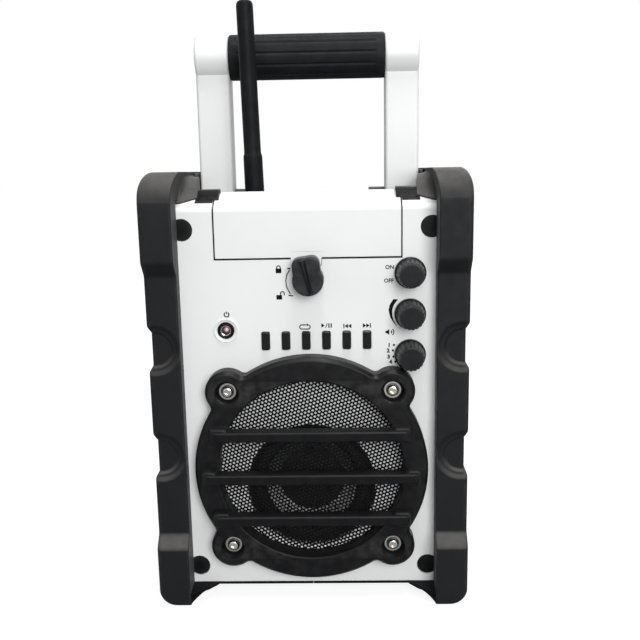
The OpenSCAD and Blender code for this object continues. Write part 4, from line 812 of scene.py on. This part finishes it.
LAMP_SECTIONS = {
    "collar": ((6.0, -64.9), (8.6, -64.9), (8.6, -65.6), (8.45, -65.85), (8.1, -65.9), (7.6, -65.7),
               (6.7, -65.25), (6.1, -65.15), (6.0, -64.9)),
    "ring": ((6.1, -65.0), (6.0, -65.7), (5.7, -65.95), (5.3, -65.9), (5.05, -65.6), (4.9, -65.6),
             (4.6, -65.8), (4.2, -65.7), (3.9, -65.1), (3.5, -64.6), (0, -64.6), (0, -63.6), (6.1, -63.6),
             (6.1, -65.0)),
    "bright": ((3.9, -64.5), (3.85, -65.4), (3.6, -65.7), (3.2, -65.6), (2.9, -65.1), (2.85, -64.5),
               (3.9, -64.5)),
}


def lamp_parts():
    """The indicator: a white collar dished towards its middle, a black stepped ring inside it, a bright
    ring, and the lens, whose dome goes forward by 1.6 sin t as its radius falls as 2.9 cos t."""
    turned = [lathe(LAMP_SECTIONS[name], LAMP, steps)
              for name, steps in (("collar", 64), ("ring", 64), ("bright", 48))]
    t = np.radians(np.linspace(0, 90, 9))
    dome = np.stack([2.9 * np.cos(t), -64.9 - 1.6 * np.sin(t)], 1)
    return turned + [lathe(np.concatenate([[[0, -63.2], [2.9, -63.2]], dome]), LAMP, 40)]


# ---------- fasteners ----------

def washer(e):
    """A flat washer with eased rims, seated in an ear's well."""
    section = [(2.2, SEAT), (6.0, SEAT), (6.2, -71.2), (6.2, -71.8), (6.0, -72), (2.2, -72), (2.2, SEAT)]
    return lathe(section, e, 40)


def spring_washer(e):
    """A thin dark washer under the screw's head, which paints the shadow round the head."""
    section = [(3.0, -71.9), (4.6, -71.9), (4.7, -72.1), (4.6, -72.35), (3.0, -72.4), (3.0, -71.9)]
    return lathe(section, e, 36)


def socket_screw(e):
    """A button head with a six-sided socket: the head's profile is turned, then a hexagonal well, of radius
    r / cos of the angle from the nearest side's middle, goes down from its rim."""
    steps, rim = 36, 1.95
    section = [(0, -72), (3.9, -72), (3.95, -72.6), (3.7, -73.7), (3.1, -74.5), (2.3, -74.8), (rim, -74.8)]
    t = np.arange(steps) / steps * 2 * math.pi
    six = 1.55 / np.cos((t + math.pi / 6) % (math.pi / 3) - math.pi / 6)
    rings = []
    for r, y in ((np.full(steps, rim), -74.8), (six, -74.7), (six * 0.97, -73.1), (six * 0, -72.8)):
        rings.append(np.stack([e[0] + r * np.cos(t), y + 0 * t, e[1] + r * np.sin(t)], -1))
    return [lathe(section, e, steps), skin(rings, capped=False)]


PLUGS = ((87, 275.6), (85.5, 23.2))      # the corner wells, out from the middle and up


def corner_plug(x, z):
    """A black cover plug in the panel's corner well: flat, with an eased rim."""
    section = [(0, -60.6), (7.5, -60.6), (7.7, -63.6), (7.45, -64.1), (6.8, -64.25), (2, -64.3), (0, -64.3)]
    return lathe(section, (x, z), 40)


# ---------- lid, hinges, handle, antenna ----------

LID, LID_LOW, LID_THICK = (-64.3, 65.8), 255.2, 3.0
HINGE_Y, HINGE_Z = -45.8, 296.2
HINGE_BLOCKS = ((LEFT, -75.7, -61.3), (RIGHT, 62.8, 77.2))     # side, and the block's two faces
NOTCH = (-11.14, 10.34, 259.21)      # where the lid is let up over the latch plate: sides and top
EDGE_R, SLOPE, LID_REACH = 4.5, 0.5, 18.5    # the lid's upper edge, the slope behind it and its depth
GAP_LOW = 254.05                     # the gap under the lid


def lid_profile(t):
    """The lid's section at depth t behind its outer face: up the front, round the edge, and back along the
    slope."""
    slope = math.degrees(math.atan(SLOPE))
    r = EDGE_R - t
    bend = arc(FACE + EDGE_R, TOP - EDGE_R, r, 180, 90 + slope, 9)
    end = [FACE + LID_REACH,
           TOP + (LID_REACH - EDGE_R) * SLOPE - EDGE_R + r / math.cos(math.radians(slope))]
    return bend, end


def lid_shell(edge):
    """The lid's bent sheet: its section runs along x, with eased ends, and its lower edge is let up over
    the latch plate."""
    out_bend, out_end = lid_profile(0)
    in_bend, in_end = lid_profile(LID_THICK)
    near = np.array([-0.5, -0.1, 0, 0.01])
    xs = np.concatenate([LID[0] + np.array([0, 0.12, 0.35, edge]), NOTCH[0] + near,
                         NOTCH[1] - near[::-1], LID[1] - np.array([edge, 0.35, 0.12, 0])])
    easing = np.array([1, 0.45, 0.12] + [0] * 10 + [0.12, 0.45, 1]) * edge
    lows = np.where((xs > NOTCH[0] + 0.005) & (xs < NOTCH[1] - 0.005), NOTCH[2], LID_LOW)
    rings = []
    for x, e, low in zip(xs, easing, lows):
        foot_edge = [[FACE + 0.5, low], [FACE + e + 0.12, low + 0.12], [FACE + e, low + 0.5]]
        section = np.concatenate([foot_edge, out_bend + [e * 0.8, -e * 0.8], [out_end], [in_end],
                                  in_bend[::-1], [[FACE + LID_THICK, low]]])
        rings.append(stood(section, x, "x"))
    return skin(rings)


def seal_lip():
    """The rubber lip in the gap round the lid: along its lower edge on both sides of the latch plate, and
    up its sides."""
    left, right, near = LID[0] - 0.85, LID[1] + 0.85, LID_LOW - 0.1
    runs = ((left, NOTCH[0] - 0.05, GAP_LOW, near), (NOTCH[1] + 0.05, right, GAP_LOW, near),
            (left, LID[0] - 0.1, 254.6, 289.5), (LID[1] + 0.1, right, 254.6, 289.5))
    front, back = FACE + 0.7, FACE + 1.7
    return [slab([[a, front], [b, front], [b, back], [a, back]], low, high, "z", 0.1)
            for a, b, low, high in runs]


def hinge_barrel():
    """The lid's barrel between the brackets."""
    return slab(round_about((HINGE_Y, HINGE_Z), 4.2, 40), LID[0] + 3.6, LID[1] - 3.6, "x", 0.5)


def hinge_block(side, low, high):
    """A hinge bracket: upright in front, then an arc about the pin's axis up to a flat top, with a low
    flange in front of it."""
    crest = arc(HINGE_Y, HINGE_Z, 9.9, 163.6, 141.2, 5)
    outline = soften(np.concatenate([[[-41.6, 302.4], [-41.6, 293], [-55.3, 293]], crest]),
                     [0.8, 0, 0.5, 0.3] + [0] * 4 + [0.6], 3)
    start, end = (low - 2.0, high - 4.2) if side == LEFT else (low + 4.2, high + 2.0)
    flange = [[start, -58.4], [end, -58.4], [end, -52.3], [start, -52.3]]
    return [slab(anticlockwise(outline), low, high, "x", 0.7), slab(flange, 292.5, 294.9, "z", 0.5)]


PIVOT = (23.0, 289.0)
GRIP_Z, GRIP_R, GRIP_HALF = 398.0, 16.9, 58.8
LEG, LEG_HALF = (58.8, 84.3), 11.0      # the leg's two faces, and half its breadth
HEAD_R, FOOT_R = 17.1, 13.0             # its round ends about the grip and the pivot
FLUTE_DEPTH, FLUTE_WIDTH, FLUTE_AT = 0.85, 0.85, 174.5    # the grip's grooves; degrees round to the first


def handle_leg(side):
    """A flat leg from the pivot's round foot up to a round head about the grip. Its outline is the two
    circles joined by straight sides."""
    head_turn, foot_turn = (math.degrees(math.asin(LEG_HALF / r)) for r in (HEAD_R, FOOT_R))
    outline = np.concatenate([arc(PIVOT[0], GRIP_Z, HEAD_R, -90 + head_turn, 270 - head_turn, 30),
                              arc(PIVOT[0], PIVOT[1], FOOT_R, 90 + foot_turn, 450 - foot_turn, 24)])
    low, high = sorted((side * LEG[0], side * LEG[1]))
    return stack(outline, rounded_ends(low, high, 2.4, 2.4, 6), "x")


def grip_sleeve(grooves):
    """The grip: a tube whose radius dips by narrow lengthwise grooves,
    r = R - d exp(-(distance from the groove / w)^2), plain near its ends."""
    end = GRIP_HALF - np.concatenate([[0, 0.2, 0.6, 1.2], np.linspace(5.6, 8.4, 7)])
    x = np.concatenate([-end, np.linspace(-40, 40, 5), end[::-1]])
    shoulder = np.interp(np.abs(x), [0, GRIP_HALF - 1.2, GRIP_HALF - 0.6, GRIP_HALF - 0.2, GRIP_HALF],
                         [0, 0, 0.15, 0.5, 1.0])
    full = np.interp(np.abs(x), [0, GRIP_HALF - 8.4, GRIP_HALF - 5.6, GRIP_HALF], [1, 1, 0, 0])
    steps = 192
    t = np.arange(steps) / steps * 2 * math.pi
    away = ((t - math.radians(FLUTE_AT)) * grooves / (2 * math.pi) + 0.5) % 1 - 0.5
    dip = np.exp(-((away * 2 * math.pi * GRIP_R / grooves) / FLUTE_WIDTH) ** 2)
    r = GRIP_R - shoulder[:, None] - FLUTE_DEPTH * full[:, None] * dip[None]
    y, z = PIVOT[0] + r * np.cos(t), GRIP_Z + r * np.sin(t)
    return skin(np.stack([np.repeat(x[:, None], steps, 1), y, z], -1))


ANTENNA, ANTENNA_LEAN = (-39.6, -15.0, 296.0), 1.3
# Radius at places along the antenna: sleeve, step, whip and tip
ANTENNA_SECTION = ((0, 0.4, 1.2, 27, 28.6, 29.3, 29.6, 30.2, 31.5, 134, 136, 137.2, 137.9, 138.2),
                   (6.6, 6.95, 7.15, 7.0, 6.95, 6.8, 6.6, 6.4, 6.25, 6.1, 5.75, 4.9, 3.6, 2.2))
ANTENNA_RINGS = (0, 0, 0.4, 1.2, 6, 12, 18, 24, 27, 28.6, 29.3, 29.6, 30.2, 31.5, 33, 34, 35, 36, 37.5, 39,
                 41, 44, 48, 53, 59, 66, 74, 83, 93, 103, 113, 123, 130, 134, 136, 137.2, 137.9, 138.2, 138.2)


def antenna_rubber():
    """Sleeve and whip in one rubber moulding: circles of radius r(s) about an axis that leans to the left.
    The rings are closest just above the sleeve."""
    s = np.array(ANTENNA_RINGS)
    r = np.interp(s, *ANTENNA_SECTION)
    r[[0, -1]] = 0
    lean = math.radians(ANTENNA_LEAN)
    t = np.arange(40) / 40 * 2 * math.pi
    u = r[:, None] * np.cos(t)
    x = ANTENNA[0] + u * math.cos(lean) - s[:, None] * math.sin(lean)
    y = ANTENNA[1] + r[:, None] * np.sin(t)
    z = ANTENNA[2] + u * math.sin(lean) + s[:, None] * math.cos(lean)
    return skin(np.stack([x, y, z], -1), capped=False)


# ---------- printed marks ----------

INK = (FACE - 0.12, FACE + 0.05)
STROKE, BOLD = 0.7, 0.75     # widths of the signs' lines


def ink(outline):
    """A printed shape on the panel's face, as a very thin plate."""
    return stack(outline, [(0, INK[1]), (0, INK[0])], "y")


def band(path, width):
    """A stroke of even width along an open path: each point moved half the width to either side, across
    the path's direction there."""
    p = np.asarray(path, float)
    ahead = np.gradient(p, axis=0)
    normal = np.stack([-ahead[:, 1], ahead[:, 0]], 1) / np.linalg.norm(ahead, axis=1)[:, None]
    a, b = p + normal * width / 2, p - normal * width / 2
    rows = [stood(q, y, "y") for q, y in ((a, INK[1]), (a, INK[0]), (b, INK[0]), (b, INK[1]), (a, INK[1]))]
    return skin(np.stack(rows, 1), around=False, capped=False)


def words(text, x, z, height, bold=0.1):
    """Generic printed words or numerals, drawn by a text curve that is made a mesh before it is placed."""
    curve = bpy.data.curves.new("words", "FONT")
    curve.body, curve.size, curve.extrude = text, height / 0.72, (INK[1] - INK[0]) / 2
    curve.resolution_u, curve.offset = 3, bold
    made = bpy.data.objects.new("words", curve)
    bpy.context.scene.collection.objects.link(made)
    bpy.context.view_layer.update()
    settled = made.evaluated_get(bpy.context.evaluated_depsgraph_get())
    mesh = bpy.data.meshes.new_from_object(settled)
    points = np.array([v.co for v in mesh.vertices], float).reshape(-1, 3)
    faces = [list(p.vertices) for p in mesh.polygons]
    bpy.data.objects.remove(made)
    bpy.data.meshes.remove(mesh)
    bpy.data.curves.remove(curve)
    flat = points - (points.min(0) + points.max(0)) / 2
    return np.stack([x + flat[:, 0], (INK[0] + INK[1]) / 2 - flat[:, 2], z + flat[:, 1]], 1), faces


def polygon(x, z, corners):
    """A printed shape with its corners given from its middle."""
    return ink([[x + u, z + v] for u, v in corners])


def padlock(x, z, opened):
    """A padlock sign: a body and a half-round shackle, which is lifted and swung aside when it is open."""
    shift, lift = (2.3, 0.5) if opened else (0, 0)
    body = soften([[x - 2, z - 2.5], [x + 2, z - 2.5], [x + 2, z + 0.7], [x - 2, z + 0.7]], 0.4, 3)
    bow, r = x + shift, 1.3
    shackle = np.concatenate([[[bow + r, z + 0.5]], arc(bow, z + r + lift, r, 0, 180, 12),
                              [[bow - r, z + 0.5]]])
    return [ink(body), band(shackle, STROKE)]


def power_sign(x, z, r):
    """A ring open at its top, with an upright stroke in the gap."""
    return [band(arc(x, z, r, 125, 415, 28), BOLD), band([[x, z + 0.2 * r], [x, z + 1.25 * r]], BOLD)]


def speaker_sign(x, z):
    """A small speaker with two waves."""
    horn = [(-3, -0.8), (-1.9, -0.8), (-0.3, -2.1), (-0.3, 2.1), (-1.9, 0.8), (-3, 0.8)]
    waves = [band(arc(x - 0.1, z, r, -45, 45, n), STROKE) for r, n in ((1.5, 8), (3.0, 10))]
    return [polygon(x, z, horn)] + waves


def loop_sign(x, z):
    """A flat loop with an arrow head, for repeat."""
    far, r = 2.2, 1.5
    loop = np.concatenate([arc(x + far, z, r, 60, -90, 10), arc(x - far, z, r, 270, 90, 12),
                           [[x + 1.2, z + r]]])
    return [band(loop, BOLD), polygon(x + 1.4, z + r, [(0, -1.1), (1.5, 0), (0, 1.1)])]


def transport_sign(x, z, kind):
    """A play triangle, a pause pair, or a double triangle with a bar that points backwards or forwards."""
    h = 1.6
    if kind == "play":
        return [polygon(x, z, [(-1.1, -h), (1.3, 0), (-1.1, h)])]
    if kind == "pause":
        return [polygon(x + u, z, [(-0.4, -h), (0.4, -h), (0.4, h), (-0.4, h)]) for u in (-0.8, 0.8)]
    s = RIGHT if kind == "next" else LEFT
    pair = [polygon(x + s * u, z, [(-s * 1.1, -h), (s * 1.2, 0), (-s * 1.1, h)]) for u in (-1.9, 0.5)]
    return pair + [polygon(x + s * 2.3, z, [(-0.38, -h), (0.38, -h), (0.38, h), (-0.38, h)])]


VOLUME_WEDGE = ((63.6, 224.85), (60.2, 224.9), (57.7, 221.2), (56.8, 216.9), (58.1, 211.8), (60.6, 207.8),
                (63.2, 205.05), (61.9, 207.0), (60.4, 209.8), (59.5, 213.2), (59.4, 217.2), (60.7, 221.1))
LOCK_ARC = ((-12.1, 246.7), (-14.3, 243.2), (-15, 239.3), (-14.6, 234.7), (-12, 229.7))
LOCK_TICKS = (((-13.8, 247.8), (-11.6, 247.7)), ((-13.4, 228.7), (-10.2, 228.3)))
SOURCE_DOTS = ((60.6, 191.9), (59.9, 187.9), (60.2, 183.4), (61.6, 179.7))
POWER_WORDS = (("ON", 57.6, 247.7), ("OFF", 57.1, 238.2))
TRANSPORT = (("play", 10.4, 206.7), ("pause", 15.5, 206.6), ("previous", 27.6, 206.1), ("next", 41.7, 206.3))


def ink_marks():
    """The panel's plain signs: ON and OFF, numbered sources with their dots, padlocks at the latch's two
    ends, a volume wedge, and signs for power, sound, repeat, play, pause, previous and next."""
    parts = [words(text, x, z, 2.8) for text, x, z in POWER_WORDS]
    for n, (x, z) in enumerate(SOURCE_DOTS, 1):
        parts += [words(str(n), x - 3.4, z, 2.7, 0.2), ink(round_about((x, z), 0.8, 16))]
    parts.append(ink(soften(VOLUME_WEDGE, [0.2, 0.2] + [3] * 4 + [0.2] + [3] * 5, 3)))
    parts.append(band(soften(LOCK_ARC, 6, 4, closed=False), STROKE))
    parts += [band(tick, 0.8) for tick in LOCK_TICKS]
    parts += padlock(-19.9, 247.1, False) + padlock(-19.9, 228.3, True)
    seam = np.concatenate([[[NOTCH[1] + 0.1, LID_LOW - 0.1]], arc(NOTCH[1] - 2.3, 251.3, 2.4, 0, -90, 8),
                           [[LATCH[0], 248.9]]])
    parts.append(band(seam, 0.3))
    parts += power_sign(-57.6, 215.5, 1.7) + speaker_sign(57.6, 201.4) + loop_sign(-2.3, 205.8)
    parts.append(band([[12.3, 205.0], [13.6, 208.3]], 0.5))
    for kind, x, z in TRANSPORT:
        parts += transport_sign(x, z, kind)
    return parts


# ---------- settings ----------

class RadioSizes(bpy.types.PropertyGroup):
    """Sizes of the radio's looks."""
    hole_pitch: bpy.props.FloatProperty(
        name="Hole pitch", description="Distance between the speaker sheet's holes",
        default=0.00283, unit="LENGTH")
    hole_width: bpy.props.FloatProperty(
        name="Hole width", description="Width of each hole in the speaker sheet",
        default=0.0019, unit="LENGTH")
    hole_turn: bpy.props.FloatProperty(
        name="Hole rows", description="Turn of the rows of holes",
        default=math.radians(18), subtype="ANGLE")
    guard_bevel: bpy.props.FloatProperty(
        name="Guard bevel", description="Width of the speaker guard's bevel",
        default=0.0025, unit="LENGTH")
    lip_edge: bpy.props.FloatProperty(
        name="Bumper edge", description="Radius of the bumpers' inner edges",
        default=0.0012, unit="LENGTH")
    lid_edge: bpy.props.FloatProperty(
        name="Lid edge", description="Easing of the lid's ends",
        default=0.0008, unit="LENGTH")
    knob_flutes: bpy.props.IntProperty(
        name="Knob flutes", description="Scallops round each rotary knob",
        default=18, min=8, max=36)
    grip_grooves: bpy.props.IntProperty(
        name="Grip grooves", description="Lengthwise grooves round the grip",
        default=12, min=4, max=24)
    key_front: bpy.props.FloatProperty(
        name="Button height", description="How far the push buttons stand in front of the panel",
        default=0.0019, unit="LENGTH")


class RadioColours(bpy.types.PropertyGroup):
    """Colours of the radio's mouldings."""
    shell: bpy.props.FloatVectorProperty(
        name="Shell", description="The white shells, lid and legs",
        default=(0.83, 0.835, 0.835), subtype="COLOR")
    rubber: bpy.props.FloatVectorProperty(
        name="Rubber", description="The bumpers and their feet",
        default=(0.0045, 0.0048, 0.0057), subtype="COLOR")
    moulding: bpy.props.FloatVectorProperty(
        name="Black moulding", description="Guard, brackets, plugs, buttons and the lamp's ring",
        default=(0.0035, 0.0037, 0.0044), subtype="COLOR")


def mm(length):
    """A length property in millimetres."""
    return length / MM


# ---------- operators ----------

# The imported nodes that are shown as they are, under the finish that each gets
NODE_FINISHES = {
    "white_shell": ("front_panel", "latch_plate"),
    "black_plastic": ("main_housing", "rear_cover", "device_tray", "battery_door"),
    "grey_plastic": ("compartment_sockets", "power_switch", "volume_control", "source_selector", "dc_jack"),
    "battery_shell": ("battery_pack",),
    "seal": ("lid_seal",),
    "spider_cloth": ("speaker_spider",),
    "ferrite": ("speaker_magnet",),
    "copper": ("voice_coil",),
    "brass": ("battery_terminals",),
    "circuit_board": ("main_board", "button_board"),
    "chrome": ("control_nuts",),
    "dark_metal": ("rear_screws", "speaker_basket"),
    "steel": ("hinge_pins", "speaker_screws", "door_pin", "handle_pins", "handle_core", "latch_retainer",
              "power_shaft", "volume_shaft", "source_shaft"),
}


class RADIO_OT_finishes(bpy.types.Operator):
    """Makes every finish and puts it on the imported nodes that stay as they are."""
    bl_idname = "radio.finishes"
    bl_label = "Finishes"

    def execute(self, context):
        make_finishes(context.scene.radio_colours)
        for name, nodes in NODE_FINISHES.items():
            for node in nodes:
                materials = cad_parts[node].data.materials
                materials.clear()
                materials.append(FINISHES[name])
        return {"FINISHED"}


class RADIO_OT_bumpers(bpy.types.Operator):
    """Moulds the two rubber bumpers with their lips, steps, grooves, rails and feet."""
    bl_idname = "radio.bumpers"
    bl_label = "Bumpers"

    def execute(self, context):
        right = [bumper_shell(mm(context.scene.radio_sizes.lip_edge)), saddle(), rail_block()]
        piece("bumper_right_moulding", right, "rubber", replaces=["bumper_right"])
        piece("bumper_left_moulding", [mirrored(p) for p in right], "rubber", replaces=["bumper_left"])
        piece("foot_right_moulding", foot(), "foot_rubber")
        piece("foot_left_moulding", [mirrored(p) for p in foot()], "foot_rubber")
        return {"FINISHED"}


class RADIO_OT_guard(bpy.types.Operator):
    """Makes the speaker guard with its bars, washers and screws, and the perforated sheet under it."""
    bl_idname = "radio.guard"
    bl_label = "Speaker guard"

    def execute(self, context):
        sizes = context.scene.radio_sizes
        parts = guard_plate(mm(sizes.guard_bevel))
        for bar in BARS:
            parts += guard_bar(*bar)
        piece("guard_moulding", parts, "black_moulding", replaces=["speaker_guard"])
        piece("guard_washer_set", [washer(e) for e in EARS], "steel", replaces=["guard_washers"])
        # The dark washers paint the shadow round the screws' heads.
        piece("shadow_washer_set", [spring_washer(e) for e in EARS], "dark_metal")
        piece("guard_screw_set", [p for e in EARS for p in socket_screw(e)], "chrome",
              replaces=["guard_screws"])
        sheet = perforated_sheet(mm(sizes.hole_pitch), mm(sizes.hole_width), sizes.hole_turn)
        piece("perforated_sheet", [sheet, sheet_rim()], "perforated_black", replaces=["grille_mesh"],
              even=False)
        return {"FINISHED"}


class RADIO_OT_driver(bpy.types.Operator):
    """Makes the driver's surround, cone and dust cap."""
    bl_idname = "radio.driver"
    bl_label = "Speaker driver"

    def execute(self, context):
        piece("surround_moulding", [surround_roll()], "surround_rubber", replaces=["speaker_surround"])
        piece("cone_pressing", [lathe(driver_profile(CONE), DRIVER, 96)], "silver_cone",
              body="cone", replaces=["speaker_cone"])
        piece("cap_dome", [cap_dome()], "cap_felt", body="cone", replaces=["dust_cap"])
        return {"FINISHED"}


class RADIO_OT_controls(bpy.types.Operator):
    """Makes the three rotary knobs, the latch knob, the six buttons and the indicator lamp."""
    bl_idname = "radio.controls"
    bl_label = "Controls"

    def execute(self, context):
        sizes = context.scene.radio_sizes
        for name, z, turned in KNOBS:
            piece(f"{name}_knob_cap", rotary_knob(z, sizes.knob_flutes, turned), "knob_plastic",
                  body=f"{name}_dial", replaces=[f"{name}_knob"])
        piece("latch_turn", latch_knob(), "knob_plastic", body="latch", replaces=["latch_knob"])
        for n, x in enumerate(KEYS, 1):
            piece(f"key_cap_{n}", [key_cap(x, FACE - mm(sizes.key_front))], "black_gloss", body=f"key_{n}",
                  replaces=[f"button_{n}"])
        collar, ring, bright, lens = lamp_parts()
        piece("lamp_collar", [collar], "white_shell", replaces=["led_bezel"])
        piece("lamp_ring", [ring], "black_gloss")
        piece("lamp_rim", [bright], "chrome")
        piece("lamp_dome", [lens], "lamp_lens", replaces=["led"])
        return {"FINISHED"}


class RADIO_OT_lid(bpy.types.Operator):
    """Makes the compartment lid, the rubber lip round it, its hinge brackets and the corner plugs."""
    bl_idname = "radio.lid"
    bl_label = "Lid and plugs"

    def execute(self, context):
        sizes = context.scene.radio_sizes
        piece("lid_cover", [lid_shell(mm(sizes.lid_edge)), hinge_barrel()], "white_shell", body="lid",
              replaces=["compartment_lid"])
        piece("seal_lip_set", seal_lip(), "perforated_black")
        piece("hinge_block_pair", [part for block in HINGE_BLOCKS for part in hinge_block(*block)],
              "black_moulding", replaces=["hinge_brackets"])
        piece("corner_plug_set", [corner_plug(s * x, z) for s in (LEFT, RIGHT) for x, z in PLUGS],
              "black_moulding", replaces=["corner_screws"])
        return {"FINISHED"}


class RADIO_OT_handle(bpy.types.Operator):
    """Makes the folding handle's two legs and its grip."""
    bl_idname = "radio.handle"
    bl_label = "Handle"

    def execute(self, context):
        for name, side in (("left", LEFT), ("right", RIGHT)):
            piece(f"leg_{name}_moulding", [handle_leg(side)], "white_shell", body="handle",
                  replaces=[f"handle_leg_{name}"])
        piece("grip_sleeve", [grip_sleeve(context.scene.radio_sizes.grip_grooves)], "grip_rubber",
              body="handle", replaces=["handle_grip"])
        return {"FINISHED"}


class RADIO_OT_antenna(bpy.types.Operator):
    """Makes the rubber antenna, its sleeve and whip in one moulding."""
    bl_idname = "radio.antenna"
    bl_label = "Antenna"

    def execute(self, context):
        whip = piece("antenna_rubber", [antenna_rubber()], "whip_rubber", body=None,
                     replaces=["antenna_base", "antenna_whip"], even=False)
        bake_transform(whip)
        return {"FINISHED"}


class RADIO_OT_print(bpy.types.Operator):
    """Prints the panel's plain marks."""
    bl_idname = "radio.print"
    bl_label = "Printed marks"

    def execute(self, context):
        piece("panel_print", ink_marks(), "print_ink", even=False, angle=20)
        return {"FINISHED"}


# Name, place, aim, width and power of each lamp
LAMPS = (("key", (0.6, -2.0, 0.95), (0, 0, 0.17), 1.2, 34.5),
         ("top", (0.1, -0.3, 1.75), (0, 0, 0.25), 0.5, 15),
         ("back", (0.3, 1.6, 1.3), (0, 0, 0.2), 1.2, 8))
# Strengths for the light on the object, for what the camera sees, and for reflections
FLOOR_GLOW, WORLD_GLOW = (0, 0.85, 0.04), (0.36, 1.0, 0.75)
CAMERA_AT = (24.44, -660.08, 333.49)
CAMERA_TURN = (1.539, 11.656, -1.074)    # yaw, pitch down and roll, in degrees
FOCAL, FRAME, SENSOR = 860, 640, 36      # focal length and frame in pixels; sensor's width in millimetres


class RADIO_OT_stage(bpy.types.Operator):
    """Lays the floor and sets the lamps, the world and the camera."""
    bl_idname = "radio.stage"
    bl_label = "Stage"

    def execute(self, context):
        scene = context.scene
        scene.view_settings.view_transform = "Standard"
        floor_mesh = bpy.data.meshes.new("floor")
        size = 6.0
        corners = [(-size, -size, 0), (size, -size, 0), (size, size, 0), (-size, size, 0)]
        floor_mesh.from_pydata(corners, [], [(0, 1, 2, 3)])
        floor = bpy.data.objects.new("floor", floor_mesh)
        scene.collection.objects.link(floor)
        cloth = bpy.data.materials.new("floor_paper")
        cloth.use_nodes = True
        base = cloth.node_tree.nodes["Principled BSDF"]
        base.inputs["Base Color"].default_value = (0.26, 0.26, 0.26, 1)
        base.inputs["Roughness"].default_value = 0.9
        base.inputs["Emission Color"].default_value = (1, 1, 1, 1)
        self.background(cloth.node_tree, base.inputs["Emission Strength"], *FLOOR_GLOW)
        floor_mesh.materials.append(cloth)
        self.lamps(scene)
        self.world(scene)
        self.camera(scene)
        return {"FINISHED"}

    def lamps(self, scene):
        for name, place, aim, size, power in LAMPS:
            lamp = bpy.data.lights.new(name, "AREA")
            lamp.shape, lamp.size, lamp.energy = "SQUARE", size, power
            held = bpy.data.objects.new(name, lamp)
            held.location = place
            held.rotation_euler = (Vector(aim) - Vector(place)).to_track_quat("-Z", "Y").to_euler()
            scene.collection.objects.link(held)

    def background(self, tree, strength, plain, seen, reflected):
        """Strength = plain + (seen - plain) for a ray from the camera or through glass
        + (reflected - plain) for a glossy one."""
        path = tree.nodes.new("ShaderNodeLightPath")
        level = None
        amounts = {"Is Camera Ray": seen, "Is Transmission Ray": seen, "Is Glossy Ray": reflected}
        for ray, amount in amounts.items():
            step = tree.nodes.new("ShaderNodeMath")
            step.operation = "MULTIPLY_ADD"
            step.inputs[1].default_value = amount - plain
            step.inputs[2].default_value = plain
            tree.links.new(path.outputs[ray], step.inputs[0])
            if level is not None:
                tree.links.new(level, step.inputs[2])
            level = step.outputs[0]
        tree.links.new(level, strength)

    def world(self, scene):
        world = bpy.data.worlds.new("studio")
        world.use_nodes = True
        plain = world.node_tree.nodes["Background"]
        plain.inputs["Color"].default_value = (1, 1, 1, 1)
        self.background(world.node_tree, plain.inputs["Strength"], *WORLD_GLOW)
        scene.world = world

    def camera(self, scene):
        """Looks from in front, above and a little to the right. Yaw, pitch and roll turn the three axes that
        stand in the columns of its matrix."""
        data = bpy.data.cameras.new("camera")
        data.sensor_width, data.lens = SENSOR, FOCAL / FRAME * SENSOR
        data.clip_start, data.clip_end = 0.05, 50
        camera = bpy.data.objects.new("camera", data)
        yaw, pitch, roll = (math.radians(a) for a in CAMERA_TURN)
        ahead = Vector((-math.sin(yaw) * math.cos(pitch), math.cos(yaw) * math.cos(pitch), -math.sin(pitch)))
        level = Vector((math.cos(yaw), math.sin(yaw), 0))
        upward = level.cross(ahead)
        right = level * math.cos(roll) + upward * math.sin(roll)
        up = -level * math.sin(roll) + upward * math.cos(roll)
        turn = Matrix((right, up, -ahead)).transposed().to_4x4()
        camera.matrix_world = Matrix.Translation(Vector(CAMERA_AT) * MM) @ turn
        scene.collection.objects.link(camera)
        scene.camera = camera


STEPS = (RADIO_OT_finishes, RADIO_OT_bumpers, RADIO_OT_guard, RADIO_OT_driver, RADIO_OT_controls,
         RADIO_OT_lid, RADIO_OT_handle, RADIO_OT_antenna, RADIO_OT_print, RADIO_OT_stage)


class RADIO_PT_panel(bpy.types.Panel):
    """Lists the radio's settings and its pieces."""
    bl_idname = "RADIO_PT_panel"
    bl_label = "Jobsite Radio"
    bl_space_type = "VIEW_3D"
    bl_region_type = "UI"
    bl_category = "Radio"

    def draw(self, context):
        for group in (context.scene.radio_sizes, context.scene.radio_colours):
            for name in group.__annotations__:
                self.layout.prop(group, name)
        for step in STEPS:
            self.layout.operator(step.bl_idname)


CLASSES = (RadioSizes, RadioColours, *STEPS, RADIO_PT_panel)


def register():
    for cls in CLASSES:
        bpy.utils.register_class(cls)
    bpy.types.Scene.radio_sizes = bpy.props.PointerProperty(type=RadioSizes)
    bpy.types.Scene.radio_colours = bpy.props.PointerProperty(type=RadioColours)


def unregister():
    del bpy.types.Scene.radio_sizes, bpy.types.Scene.radio_colours
    for cls in reversed(CLASSES):
        bpy.utils.unregister_class(cls)


def main():
    register()
    bpy.ops.radio.finishes()
    bpy.ops.radio.bumpers()
    bpy.ops.radio.guard()
    bpy.ops.radio.driver()
    bpy.ops.radio.controls()
    bpy.ops.radio.lid()
    bpy.ops.radio.handle()
    bpy.ops.radio.antenna()
    bpy.ops.radio.print()
    bpy.ops.radio.stage()


if __name__ == "__main__":
    main()
